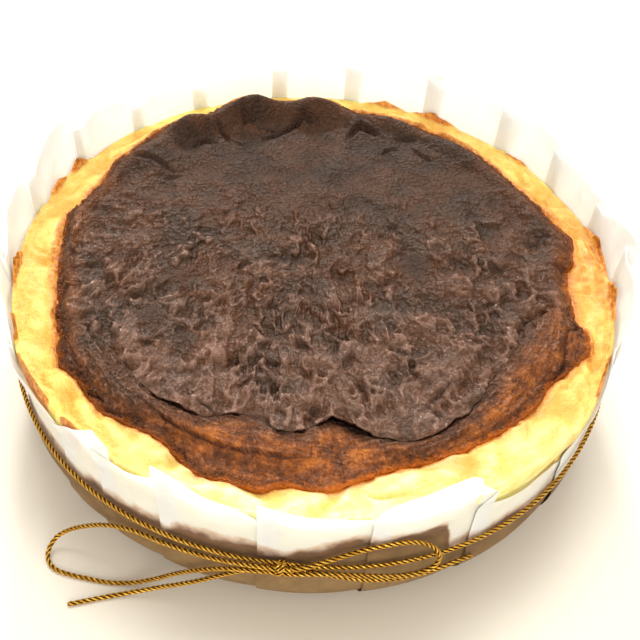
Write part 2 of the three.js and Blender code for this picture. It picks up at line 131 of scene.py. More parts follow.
# Routes of the free ends of the bow: angle, distance from the axis and height.
LEFT_LOOP = [
    (-94, 77.4, 22.6), (-96.2, 77.2, 22.2), (-99, 76.8, 21.3), (-102.8, 76.1, 19.8),
    (-107.6, 75.7, 18.6), (-113.1, 75.6, 17.6), (-119, 75.8, 16.5), (-124, 76.9, 14),
    (-128.3, 78.7, 10), (-131.3, 81, 6.2), (-132.5, 83.4, 3.6), (-132.2, 85.8, 1.9),
    (-131.1, 87.4, 1), (-129.3, 87.8, 0.7), (-126.9, 86.5, 0.65), (-124.3, 84.6, 0.65),
    (-121.3, 82.5, 0.65), (-117.8, 79.7, 1.3), (-114, 77.4, 4.2), (-110.3, 76.4, 8.6),
    (-106.6, 76.4, 13), (-102.6, 76.7, 17), (-99, 77.1, 19.5), (-96.2, 77.4, 20.7),
    (-94, 77.4, 21.1),
]
LEFT_TAIL = [
    (-94, 75.9, 21.1), (-95, 75.8, 20.3), (-96.2, 75.8, 19.4), (-97.6, 75.8, 18.1),
    (-99.1, 75.8, 16.6), (-102.1, 75.9, 13.5), (-105.4, 76.7, 10.4), (-108.8, 77.5, 7.2),
    (-112.2, 78.7, 4.4), (-113.8, 79.6, 3.2), (-115.3, 80.7, 2.2), (-116.7, 81.9, 1.5),
    (-117.9, 83.2, 1), (-120.1, 86.3, 0.65), (-121.8, 89.3, 0.65), (-123.3, 92.2, 0.65),
]
RIGHT_LOOP = [
    (-90.4, 77.4, 22.6), (-88.4, 77.2, 23.4), (-86, 76.7, 24.5), (-83.4, 76.2, 25.7),
    (-80.9, 76, 27.1), (-78.5, 76, 28.3), (-75.7, 76, 29), (-72.7, 76, 29.1),
    (-69.9, 76.1, 28.4), (-67.6, 76.5, 26.8), (-66.1, 77.1, 24.6), (-65.5, 77.5, 22),
    (-66.1, 77.6, 19.5), (-68, 77.5, 18), (-71, 77.3, 17.8), (-75.8, 77.2, 19.2),
    (-80.6, 77.2, 20.8), (-84.8, 77.3, 21.6), (-88, 77.4, 21.5), (-90.4, 77.4, 21.1),
]
RIGHT_TAIL = [
    (-90.4, 75.9, 21.1), (-89.2, 75.8, 20.6), (-88, 75.7, 20), (-86.5, 75.6, 19.5),
    (-85, 75.6, 18.9), (-82.2, 75.6, 17.7), (-79.2, 75.6, 16.4), (-77.3, 75.6, 15.6),
    (-75.4, 75.6, 15), (-73.3, 75.6, 14.5), (-71.2, 75.6, 14.2), (-67.2, 75.6, 13.9),
    (-63.8, 75.6, 14), (-60.6, 75.6, 14.1), (-57.5, 75.6, 13.8),
]

# ---- resolution of the fine surfaces ----
COLUMNS = 720  # round the cake
ROUND = np.arange(COLUMNS) * 360 / COLUMNS  # the angle of each column
SKIN_ROWS = 128
RING_ROWS = 60
RIM_ROWS = 56
FLAP_COLUMNS = 22  # of the parchment from one pleat to the next
TURN_COLUMNS = 4  # of each hidden layer in a pleat
WALL_ROWS = 42
STRAND_SIDES = 8
RINGS_PER_TWIST = 18


# ---- small helpers ----
def lerp(a, b, t):
    """The blend from a, where t is 0, to b, where it is 1."""
    return a + (b - a) * t


def clamp01(t):
    return np.clip(t, 0.0, 1.0)


def smooth(t):
    """Smoothstep: t held between 0 and 1, then three times its square less twice its cube."""
    c = clamp01(t)
    return c * c * (3 - 2 * c)


def sin_deg(angle):
    return np.sin(np.radians(angle))


def cos_deg(angle):
    return np.cos(np.radians(angle))


def turn(a, b):
    """Signed angle from b to a, between -180 and 180 degrees."""
    return (a - b + 180) % 360 - 180


def bump(distance, half_width):
    """A round bump, 1 in the middle and 0 from one half width away: a squared cosine."""
    return np.cos(np.minimum(np.abs(distance) / half_width, 1) * np.pi / 2) ** 2


def crest(value, sharpness):
    """A ridge where a noise passes through zero: 1 there, falling off to both sides."""
    return np.maximum(0, 1 - sharpness * np.abs(value)) ** 1.5


def line(table, angle):
    """A traced outline at an angle, with its corners rounded over three degrees."""
    offsets = (-1.5, -0.5, 0.5, 1.5)
    return sum(np.interp(angle + d, *table, period=360) for d in offsets) / len(offsets)


def waves(table, angle):
    """The sum of the waves of a table at an angle, each a bump of its own reach."""
    return sum(reach * bump(turn(angle, middle), spread) for middle, spread, reach in table)


def polar(angle, radius, height):
    """Points at an angle, a distance from the axis and a height, with x, y and z last."""
    angle, radius, height = np.broadcast_arrays(angle, radius, height)
    return np.stack([radius * cos_deg(angle), radius * sin_deg(angle), height], axis=-1)


def noise(u, v, seed):
    """Gradient noise between about -1 and 1: each corner of a square lattice has a slope in a random
    direction, and the slopes of the four corners round a point are blended by smoothstep."""
    bearing = np.random.default_rng(seed).random((256, 256)) * 2 * np.pi
    low_u, low_v = np.floor(u).astype(int), np.floor(v).astype(int)
    in_u, in_v = u - low_u, v - low_v

    def corner(du, dv):
        slope = bearing[(low_u + du) % 256, (low_v + dv) % 256]
        return np.cos(slope) * (in_u - du) + np.sin(slope) * (in_v - dv)

    near = lerp(corner(0, 0), corner(1, 0), smooth(in_u))
    far = lerp(corner(0, 1), corner(1, 1), smooth(in_u))
    return 1.6 * lerp(near, far, smooth(in_v))


def ring_noise(angle, across, cells, seed):
    """Noise round the circle that closes on itself: the same noise read twice, half a turn apart, and
    each reading faded out where its own ends meet."""
    first = noise((angle % 360) / 360 * cells, across, seed)
    second = noise(((angle + 180) % 360) / 360 * cells + 100, across, seed + 1)
    weight = smooth(1.5 - np.abs(turn(angle, 180)) / 90)
    return lerp(second, first, weight)


# ---- meshes ----
def make_piece(name, points, faces, material, fields=None):
    """A smooth mesh piece from points in millimetres and a list of arrays of faces with three or four
    corners. Each field holds a number for every point, and the material reads it by its name."""
    mesh = bpy.data.meshes.new(name)
    corners = np.concatenate([part.ravel() for part in faces]).astype(np.int32)
    sizes = np.concatenate([np.full(len(part), part.shape[1]) for part in faces])
    starts = (np.cumsum(sizes) - sizes).astype(np.int32)
    mesh.vertices.add(len(points))
    mesh.vertices.foreach_set("co", (points * MM).astype(np.float32).ravel())
    mesh.loops.add(len(corners))
    mesh.loops.foreach_set("vertex_index", corners)
    mesh.polygons.add(len(sizes))
    mesh.polygons.foreach_set("loop_start", starts)
    mesh.polygons.foreach_set("use_smooth", np.ones(len(sizes), dtype=bool))
    for field, values in (fields or {}).items():
        layer = mesh.attributes.new(field, "FLOAT", "POINT")
        layer.data.foreach_set("value", np.asarray(values, dtype=np.float32).ravel())
    mesh.update(calc_edges=True)
    mesh.validate()
    mesh.materials.append(material)
    piece = bpy.data.objects.new(name, mesh)
    bpy.context.scene.collection.objects.link(piece)
    return piece


def grid_faces(rows, columns, closed, first=0):
    """The faces of a grid whose points run row by row. A closed grid joins its last column to its first."""
    row, column = np.meshgrid(np.arange(rows - 1), np.arange(columns - (not closed)), indexing="ij")
    here = first + row * columns + column
    beside = first + row * columns + (column + 1) % columns
    return np.stack([here, here + columns, beside + columns, beside], axis=-1).reshape(-1, 4)


def fan_faces(centre, ring_start, columns, outwards):
    """Triangles from a centre point to a closed ring of points."""
    column = np.arange(columns)
    here = ring_start + column
    beside = ring_start + (column + 1) % columns
    pair = (here, beside) if outwards else (beside, here)
    return np.stack([np.full(columns, centre), *pair], axis=-1)


def round_body(rings, top_height, bottom_height):
    """Points and faces of a closed body through rings (ring, column, xyz) that start at the top, with a
    pole on the axis above the first ring and one below the last."""
    count, columns = rings.shape[:2]
    points = np.concatenate([[(0, 0, top_height)], rings.reshape(-1, 3), [(0, 0, bottom_height)]])
    last = len(points) - 1
    faces = [
        grid_faces(count, columns, True, first=1),
        fan_faces(0, 1, columns, True),
        fan_faces(last, 1 + (count - 1) * columns, columns, False),
    ]
    return points, faces


# ---- materials ----
def srgb(red, green, blue):
    """The linear colour of a colour given as three numbers up to 255."""
    value = np.array([red, green, blue]) / 255
    linear = np.where(value <= 0.04045, value / 12.92, ((value + 0.055) / 1.055) ** 2.4)
    return (*linear.tolist(), 1.0)


def as_colour(value):
    """A socket as it is, three numbers up to 255 as a linear colour, and one number as a grey."""
    if isinstance(value, bpy.types.NodeSocket):
        return value
    return srgb(*value) if isinstance(value, tuple) else (value, value, value, 1.0)


class Shading:
    """One material and short ways to add nodes to it. Coordinates are in millimetres."""

    def __init__(self, name):
        self.material = bpy.data.materials.new(name)
        self.material.use_nodes = True
        self.tree = self.material.node_tree
        self.tree.nodes.clear()
        metres = self.add("ShaderNodeTexCoord", {}).outputs["Object"]
        scaled = self.add("ShaderNodeVectorMath", {0: metres, "Scale": 1 / MM}, operation="SCALE")
        self.place = scaled.outputs[0]

    def add(self, kind, inputs, **settings):
        made = self.tree.nodes.new(kind)
        for setting, value in settings.items():
            setattr(made, setting, value)
        for socket, value in inputs.items():
            if isinstance(value, bpy.types.NodeSocket):
                self.tree.links.new(value, made.inputs[socket])
            else:
                made.inputs[socket].default_value = value
        return made

    def field(self, name):
        return self.add("ShaderNodeAttribute", {}, attribute_name=name).outputs["Fac"]

    def sums(self, operation, a, b=0.0, clamp=False):
        return self.add("ShaderNodeMath", {0: a, 1: b}, operation=operation, use_clamp=clamp).outputs[0]

    def plus(self, a, b, clamp=False):
        return self.sums("ADD", a, b, clamp)

    def times(self, a, b):
        return self.sums("MULTIPLY", a, b)

    def grain(self, scale, detail=3.0, roughness=0.55, place=None):
        """Noise of about 0 to 1 with scale waves to a millimetre."""
        inputs = {"Vector": place or self.place, "Scale": scale, "Detail": detail, "Roughness": roughness}
        return self.add("ShaderNodeTexNoise", inputs).outputs["Fac"]

    def sway(self, reach, *grain):
        """Noise that swings about 0, by reach from its lowest to its highest."""
        return self.times(self.sums("SUBTRACT", self.grain(*grain), 0.5), reach)

    def crest(self, value, sharpness):
        """A ridge where a noise passes through its middle: 1 there, falling off to both sides."""
        away = self.sums("ABSOLUTE", self.sums("SUBTRACT", value, 0.5))
        return self.sums("SUBTRACT", 1.0, self.times(away, sharpness), clamp=True)

    def ramp(self, factor, stops):
        """Colours or shares along a factor: each stop is a position and a colour or a grey."""
        made = self.add("ShaderNodeValToRGB", {"Fac": factor})
        elements = made.color_ramp.elements
        while len(elements) < len(stops):
            elements.new(0.5)
        for element, (position, value) in zip(elements, stops):
            element.position = position
            element.color = as_colour(value)
        return made.outputs["Color"]

    def blend(self, share, a, b, kind="MIX"):
        inputs = {0: share, 6: as_colour(a), 7: as_colour(b)}
        return self.add("ShaderNodeMix", inputs, data_type="RGBA", blend_type=kind).outputs[2]

    def shade(self, colour, factor, stops):
        """The colour made darker or lighter along a factor, where a grey of a half leaves it as it is."""
        return self.blend(1.0, colour, self.ramp(factor, stops), "OVERLAY")

    def relief(self, height, distance):
        """A bump of a height between 0 and 1 that stands for distance millimetres."""
        return self.add("ShaderNodeBump", {"Height": height, "Distance": distance * MM}).outputs["Normal"]

    def finish(self, shader):
        self.add("ShaderNodeOutputMaterial", {"Surface": shader})
        return self.material


def crust_material():
    """Browned crust: grey-brown and crumpled, with painted highlights on its glossy crests, painted shade in
    its dips, creases and below the lip, and orange-brown towards the front edge. The edge has a dark
    blistered fringe and a thin orange line next to the rim."""
    s = Shading("browned_crust")
    edge_gap, ring, crease_shade, calm, lift, char = (
        s.field(f) for f in ("edge_gap", "ring", "crease_shade", "calm", "lift", "char"))
    height = s.plus(s.times(lift, 0.6), s.times(s.grain(1.1, 1.0, 0.5), 0.4))

    skin = s.ramp(s.grain(0.07, 5.0, 0.6), [
        (0.32, (50, 33, 22)), (0.45, (60, 38, 24)), (0.57, (75, 44, 25)), (0.70, (58, 40, 28)),
    ])
    outer = s.ramp(s.grain(0.2, 5.0, 0.65), [
        (0.34, (72, 38, 20)), (0.5, (114, 60, 25)), (0.66, (162, 90, 30)),
    ])
    colour = s.blend(ring, skin, outer)
    colour = s.shade(colour, s.grain(0.9, 4.0, 0.7), [(0.35, 0.42), (0.65, 0.58)])
    # painted light and shade by relief: lighter on crests and towards the front, darker in dips
    colour = s.shade(colour, lift, [(0.12, 0.2), (0.4, 0.48), (0.85, 0.7)])
    colour = s.shade(colour, calm, [(0.2, 0.5), (0.8, 0.38)])
    # painted highlight on the crests: pinkish grey on the skin, orange on the ring
    crests = s.ramp(s.sums("SUBTRACT", lift, s.times(calm, 0.3)), [(0.42, 0.0), (0.95, 0.55)])
    colour = s.blend(crests, colour, s.blend(ring, (166, 132, 116), (184, 116, 60)))

    ragged = s.plus(edge_gap, s.sway(4.0, 0.7, 4.0))
    fringe = s.ramp(s.sums("DIVIDE", ragged, 8.0), [(0.02, 0.9), (0.18, 0.8), (0.4, 0.0)])
    fringe = s.times(fringe, char)
    charred = s.ramp(s.grain(1.3, 5.0, 0.7), [
        (0.38, (30, 17, 12)), (0.52, (54, 30, 18)), (0.66, (122, 68, 36)),
    ])
    colour = s.blend(fringe, colour, charred)
    # painted shade in creases, beside deep folds, along the second fold and below the lip
    colour = s.blend(crease_shade, colour, s.blend(ring, (32, 15, 9), (58, 24, 12)))
    glow = s.ramp(s.sums("DIVIDE", ragged, 3.0), [(0.0, 1.0), (0.5, 0.0)])
    colour = s.blend(s.times(glow, s.times(ring, 0.9)), colour, (196, 100, 24))

    blistered = s.blend(fringe, height, s.crest(s.grain(1.3, 2.0, 0.5), 4.0))
    gloss = s.plus(s.ramp(height, [(0.35, 0.6), (0.68, 0.24)]), s.times(calm, 0.15))
    shader = s.add("ShaderNodeBsdfPrincipled", {
        "Base Color": colour, "Roughness": s.blend(fringe, gloss, 0.26), "Normal": s.relief(blistered, 1.8),
        "Specular IOR Level": 0.25, "Specular Tint": (1.0, 0.85, 0.72, 1.0),
    })
    return s.finish(shader.outputs[0])


def cheese_material():
    """Pale moist rim: yellow, painted paler and lighter in front where the light falls on it, peach-coloured
    at the sides, with painted shade of deeper yellow in the creases and on low lobes, orange next to the
    crust, scorched patches and a toasted outer edge."""
    s = Shading("pale_rim")
    across, toast, scorch, crease_and_shade, bake, lit_front = (
        s.field(f) for f in ("across", "toast", "scorch", "crease_and_shade", "bake", "lit_front"))
    wobble = s.sway(0.7, 0.5, 4.0, 0.6)
    pale = s.ramp(s.grain(0.2, 4.0, 0.55), [
        (0.32, (222, 188, 90)), (0.46, (234, 210, 104)), (0.62, (242, 228, 128)),
    ])
    lit_pale = s.ramp(s.grain(0.2, 3.0), [(0.4, (240, 234, 148)), (0.6, (246, 248, 196))])
    peach = s.ramp(s.grain(0.35, 4.0, 0.6), [
        (0.34, (196, 124, 48)), (0.5, (212, 150, 68)), (0.64, (224, 174, 92)),
    ])
    orange = s.ramp(s.grain(0.6, 4.0), [(0.4, (176, 80, 14)), (0.62, (206, 120, 34))])
    baked = s.ramp(s.grain(0.7, 5.0, 0.65), [
        (0.36, (168, 94, 32)), (0.5, (206, 128, 46)), (0.66, (226, 166, 78)),
    ])
    peachy = s.plus(bake, s.times(wobble, 0.8), clamp=True)
    # painted light: paler and lighter where the front is lit
    colour = s.blend(peachy, s.blend(lit_front, pale, lit_pale), peach)
    # painted shade: deeper yellow in creases and on low lobes, paler on the lit front
    colour = s.blend(s.times(crease_and_shade, 0.6), colour, s.blend(lit_front, (214, 156, 60), (232, 200, 76)))
    near_crust = s.plus(across, s.times(wobble, 0.2))
    colour = s.blend(s.ramp(near_crust, [(0.03, 1.0), (0.12, 0.4), (0.26, 0.0)]), colour, orange)
    colour = s.blend(s.ramp(s.plus(scorch, wobble), [(0.35, 0.0), (0.75, 0.85)]), colour, baked)
    colour = s.blend(s.ramp(s.plus(toast, wobble), [(0.3, 0.0), (0.7, 1.0)]), colour, baked)
    height = s.plus(s.times(s.grain(0.45, 4.0, 0.6), 0.7), s.times(s.grain(1.6, 3.0), 0.3))
    rim = s.add("ShaderNodeBsdfPrincipled", {
        "Base Color": colour, "Roughness": 0.45, "Normal": s.relief(height, 1.0), "Specular IOR Level": 0.35,
        "Subsurface Weight": 0.2, "Subsurface Radius": (1.0, 0.6, 0.25), "Subsurface Scale": 0.0015,
    })
    return s.finish(rim.outputs[0])


def paper_material():
    """Thin white baking parchment that lets some light through. Below a traced line on the wall it is dull
    pinkish brown, darkest a little below the line, then tan towards the bottom."""
    s = Shading("parchment")
    below = s.plus(s.plus(s.field("below_tan_line"), s.sway(7.0, 0.14, 3.0)), 2.0)
    colour = s.ramp(s.sums("DIVIDE", below, 18.0), [
        (0.02, (252, 252, 250)), (0.1, (236, 218, 198)), (0.19, (164, 128, 100)),
        (0.32, (154, 120, 86)), (0.5, (170, 136, 92)), (0.85, (184, 152, 106)),
    ])
    colour = s.shade(colour, s.grain(0.3, 4.0, 0.6), [(0.35, 0.44), (0.65, 0.55)])
    upright = s.add("ShaderNodeMapping", {"Vector": s.place, "Scale": (1.0, 1.0, 0.6)}).outputs[0]
    creases = s.crest(s.grain(0.1, 2.0, 0.5, upright), 6.0)
    normal = s.relief(s.plus(s.times(creases, 0.5), s.times(s.grain(0.3, 3.0), 0.5)), 0.4)
    sheet = s.add("ShaderNodeBsdfPrincipled", {
        "Base Color": colour, "Roughness": 0.5, "Normal": normal, "Specular IOR Level": 0.3,
    })
    through = s.add("ShaderNodeBsdfTranslucent", {"Color": colour, "Normal": normal})
    both = s.add("ShaderNodeMixShader", {0: 0.55, 1: sheet.outputs[0], 2: through.outputs[0]})
    return s.finish(both.outputs[0])


def cord_material():
    """Metallic gold yarn: bright on the outside of each strand, with fine filaments, and with shade painted
    nearly black between the strands."""
    s = Shading("gold_yarn")
    wave = s.sums("SINE", s.times(s.field("filament"), 2 * np.pi))
    threads = s.plus(s.times(wave, 0.5), 0.5)
    gold = s.ramp(s.grain(1.2, 3.0), [(0.35, (202, 138, 32)), (0.6, (242, 188, 72))])
    # painted shade: the depth field darkens the sides of the strands where they meet
    yarn = s.add("ShaderNodeBsdfPrincipled", {
        "Base Color": s.blend(s.field("depth"), gold, (30, 17, 5)), "Metallic": 0.8, "Roughness": 0.24,
        "Normal": s.relief(threads, 0.02),
    })
    return s.finish(yarn.outputs[0])


def floor_material():
    """Plain pale floor, very slightly mottled."""
    s = Shading("pale_floor")
    tone = s.ramp(s.grain(0.01, 2.0), [(0.3, (226, 218, 203)), (0.7, (228, 220, 205))])
    return s.finish(s.add("ShaderNodeBsdfPrincipled", {"Base Color": tone, "Roughness": 0.6}).outputs[0])


# ---- camera ----
CAMERA_PLACE = (0.0877, -225.76, 253.51)
CAMERA_TILT = 45.810  # degrees down
CAMERA_TURN = 0.4289  # to the right
CAMERA_ROLL = 5.026
CAMERA_LENS = 69.91  # millimetres on a 36 mm sensor


def add_camera():
    """The camera looks down along a direction given by its tilt and turn, rolled about it."""
    ahead = np.array([sin_deg(CAMERA_TURN) * cos_deg(CAMERA_TILT),
                      cos_deg(CAMERA_TURN) * cos_deg(CAMERA_TILT), -sin_deg(CAMERA_TILT)])
    level = np.array([cos_deg(CAMERA_TURN), -sin_deg(CAMERA_TURN), 0.0])
    above = np.cross(level, ahead)
    right = cos_deg(CAMERA_ROLL) * level + sin_deg(CAMERA_ROLL) * above
    up = cos_deg(CAMERA_ROLL) * above - sin_deg(CAMERA_ROLL) * level
    pose = np.eye(4)
    pose[:3, :4] = np.stack([right, up, -ahead, np.array(CAMERA_PLACE) * MM], axis=1)
    lens = bpy.data.cameras.new("camera")
    lens.lens = CAMERA_LENS
    lens.sensor_width = 36.0
    lens.clip_start = 0.01
    camera = bpy.data.objects.new("camera", lens)
    camera.matrix_world = Matrix(pose.tolist())
    bpy.context.scene.collection.objects.link(camera)
    bpy.context.scene.camera = camera


# ---- the cord ----
TWIST_PITCH = 4.2  # length of one turn of the three strands
STRANDS = 3
STRAND_RADIUS = CORD_DIAMETER / 2 / (1 + 2 / 3**0.5)
STRAND_OFFSET = CORD_DIAMETER / 2 - STRAND_RADIUS
FILAMENTS = 4  # bright threads round one strand
FILAMENT_PITCH = 0.45  # how far apart they follow each other along it
WALL_START = 9.0  # up to this height what a cord lies on turns from the floor to the wall
BAND_MARGIN = 1.8  # degrees from the middle of the knot to where the band enters it
BAND_WAVE = 0.9  # how far the band rises and falls
KNOT_HALF_WIDTH = 2.0  # degrees
KNOT_TURNS = 1.35  # of the cord round the four strands
KNOT_UP = 1.6  # half the height of such a turn
KNOT_OUT = 1.35  # half its depth
KNOT_DRIFT = 0.7  # how far it moves along the cake, to each side


def smooth_route(points, step):
    """A centripetal Catmull-Rom curve through the points, resampled at even steps along its length. Each
    stretch is the usual pyramid of blends between its four nearest points, with knots spaced by the square
    root of the distance between points."""
    ends = np.concatenate([[2 * points[0] - points[1]], points, [2 * points[-1] - points[-2]]])
    knots = np.concatenate([[0], np.cumsum(np.linalg.norm(np.diff(ends, axis=0), axis=1) ** 0.5)])
    t = np.linspace(knots[1], knots[-2], 200 * len(points))
    i = np.clip(np.searchsorted(knots, t, side="right") - 1, 1, len(points) - 1)

    def mix(a, b, from_knot, to_knot):
        return lerp(a, b, ((t - from_knot) / (to_knot - from_knot))[:, None])

    k0, k1, k2, k3 = knots[i - 1], knots[i], knots[i + 1], knots[i + 2]
    first = mix(ends[i - 1], ends[i], k0, k1)
    second = mix(ends[i], ends[i + 1], k1, k2)
    third = mix(ends[i + 1], ends[i + 2], k2, k3)
    curve = mix(mix(first, second, k0, k2), mix(second, third, k1, k3), k1, k2)
    along = np.concatenate([[0], np.cumsum(np.linalg.norm(np.diff(curve, axis=0), axis=1))])
    even = np.linspace(0, along[-1], int(round(along[-1] / step)) + 1)
    return np.stack([np.interp(even, along, curve[:, k]) for k in range(3)], axis=1)


def unit(v):
    """Vectors divided by their own length."""
    return v / np.linalg.norm(v, axis=-1, keepdims=True)


def twisted_cord(name, route, material):
    """Three round strands twisted about the route. At each station a strand's middle lies STRAND_OFFSET
    from the route, at an angle that grows by a full turn every TWIST_PITCH; the angle is measured from
    the direction away from what the cord lies on, which is outwards on the wall and upwards on the floor."""
    tangent = unit(np.gradient(route, axis=0))
    outward = unit(route * (1, 1, 0))
    on_wall = smooth(route[:, 2:] / WALL_START)
    facing = outward * on_wall + np.array([0, 0, 1.0]) * (1 - on_wall)
    side = unit(np.cross(tangent, facing))
    away = np.cross(side, tangent)
    along = np.concatenate([[0], np.cumsum(np.linalg.norm(np.diff(route, axis=0), axis=1))])
    stations = len(route)
    points, faces, depths, filaments = [], [], [], []
    for strand in range(STRANDS):
        twist = 2 * np.pi * (along / TWIST_PITCH + strand / STRANDS)
        spoke = np.cos(twist)[:, None] * away + np.sin(twist)[:, None] * side
        middle = route + STRAND_OFFSET * spoke
        heading = unit(np.gradient(middle, axis=0))
        cross = unit(np.cross(heading, spoke))
        lift = np.cross(cross, heading)
        around = 2 * np.pi * np.arange(STRAND_SIDES) / STRAND_SIDES
        rim = np.cos(around)[None, :, None] * lift[:, None] + np.sin(around)[None, :, None] * cross[:, None]
        tube = (middle[:, None] + STRAND_RADIUS * rim).reshape(-1, 3)
        first = sum(len(p) for p in points)
        points += [tube, middle[:1], middle[-1:]]
        caps = first + len(tube)
        faces += [
            grid_faces(stations, STRAND_SIDES, True, first=first),
            fan_faces(caps, first, STRAND_SIDES, True),
            fan_faces(caps + 1, first + (stations - 1) * STRAND_SIDES, STRAND_SIDES, False),
        ]
        # painted shade: dark on the sides of a strand that face the others
        gap_shade = smooth((0.95 - np.cos(around)) / 0.75)
        depths += [np.tile(gap_shade, stations), [0.5, 0.5]]
        spiral = along[:, None] / FILAMENT_PITCH + FILAMENTS * np.arange(STRAND_SIDES) / STRAND_SIDES
        filaments += [spiral.ravel(), [0.0, 0.0]]
    fields = {"depth": np.concatenate(depths), "filament": np.concatenate(filaments)}
    return make_piece(name, np.concatenate(points), faces, material, fields)


def add_cords(material):
    """The bow's loops and tails, the cord round the cake and the knot that holds them."""
    step = TWIST_PITCH / RINGS_PER_TWIST
    bow = [
        ("bow_loop_left", LEFT_LOOP, "object"), ("bow_loop_right", RIGHT_LOOP, "object"),
        ("bow_tail_left", LEFT_TAIL, "bare"), ("bow_tail_right", RIGHT_TAIL, "bare"),
    ]
    for node, points, far_end in bow:
        route = smooth_route(polar(*np.array(points).T), step)
        piece = twisted_cord(node + "_cord", route, material)
        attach(piece, "root")
        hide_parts(node)
    piece = twisted_cord("band_cord", smooth_route(band_points(), step), material)
    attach(piece, "root")
    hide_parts("cord_band")
    add_knot(material, step)


def band_points():
    """The cord round the cake, from one side of the knot to the other: a ring that rises and falls four
    times, and that bends up and a little outwards where it enters the knot."""
    angle = np.linspace(KNOT_ANGLE + BAND_MARGIN, KNOT_ANGLE + 360 - BAND_MARGIN, 361)
    near = np.exp(-((np.minimum(angle - angle[0], angle[-1] - angle) / 2) ** 2))
    wave = BAND_HEIGHT + BAND_WAVE * cos_deg(4 * (angle + 98))
    return polar(angle, BAND_RADIUS + 0.25 * near, lerp(wave, KNOT_HEIGHT + 0.7, near))


def add_knot(material, step):
    """The knot: the four strands that pass through it, and one slanted turn of the cord round them, an
    oval that drifts along the cake while it is carried round."""
    through = [(77.4, 22.6), (77.4, 21.1), (75.9, 21.1), (75.9, 22.6)]
    angle = np.linspace(KNOT_ANGLE - KNOT_HALF_WIDTH, KNOT_ANGLE + KNOT_HALF_WIDTH, 9)
    parts = [smooth_route(polar(angle, radius, height), step) for radius, height in through]
    t = np.linspace(0, KNOT_TURNS, 40) * 2 * np.pi
    up = KNOT_UP * np.sin(t + 0.6)
    out = KNOT_OUT * np.cos(t + 0.6)
    drift = lerp(-KNOT_DRIFT, KNOT_DRIFT, t / t[-1]) + 0.35 * up
    around = KNOT_ANGLE + np.degrees(drift / KNOT_RADIUS)
    parts.append(smooth_route(polar(around, KNOT_RADIUS + out, KNOT_HEIGHT + up), step))
    for number, route in enumerate(parts):
        piece = twisted_cord("knot_strand_%d" % number, route, material)
        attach(piece, "root")
        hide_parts("cord_knot")


# ---- the parchment's outline ----
def pleat_and_share(angle):
    """Which pleat an angle lies after, and how far along it is to the next one, from 0 to 1."""
    along = (angle - PLEAT_ANGLE[0]) % 360 + PLEAT_ANGLE[0]
    pleat = np.searchsorted(PLEAT_ANGLE, along, side="right") - 1
    return pleat, (along - PLEAT_ANGLE[pleat]) / (NEXT_PLEAT[pleat] - PLEAT_ANGLE[pleat])


def flare_height(height):
    """How far up the collar a height is, from 0 at the rim to 1 at the collar's full height."""
    return clamp01((height - RIM_HEIGHT) / (COLLAR_HEIGHT - RIM_HEIGHT))


def pleat_step(height):
    """How far one side of a pleat stands outside the other."""
    return lerp(PLEAT_STEP, COLLAR_PLEAT_STEP, flare_height(height))


def paper_radius(angle, height, share):
    """Outside of the parchment: an upright wall that flares from FLARE_START on, with a step at each pleat
    and a swell between pleats, both stronger along the free edge."""
    low = smooth((height - FLARE_START) / (RIM_HEIGHT - FLARE_START))
    high = flare_height(height)
    flare = (RIM_FLARE + waves(SAGS, angle)) * low + (COLLAR_FLARE - RIM_FLARE) * high
    swell = lerp(SAG_BULGE, COLLAR_BULGE, high)
    return PAPER_RADIUS + flare + pleat_step(height) * (0.5 - share) + swell * np.sin(np.pi * share)


def wall_radius(angle, height):
    """Outside of the cake's wall, just inside the parchment."""
    return paper_radius(angle, height, pleat_and_share(angle)[1]) - CAKE_INSET


# ---- the crust ----
FAN_X = 0.0  # the point behind the middle from which the skin's crinkles fan out
FAN_Y = 48.0
FAN_STEP = 36.0  # degrees from the heading of one set of wrinkles to the next
WRINKLE_RISE = 1.3
RIDGE_RISE = 0.9

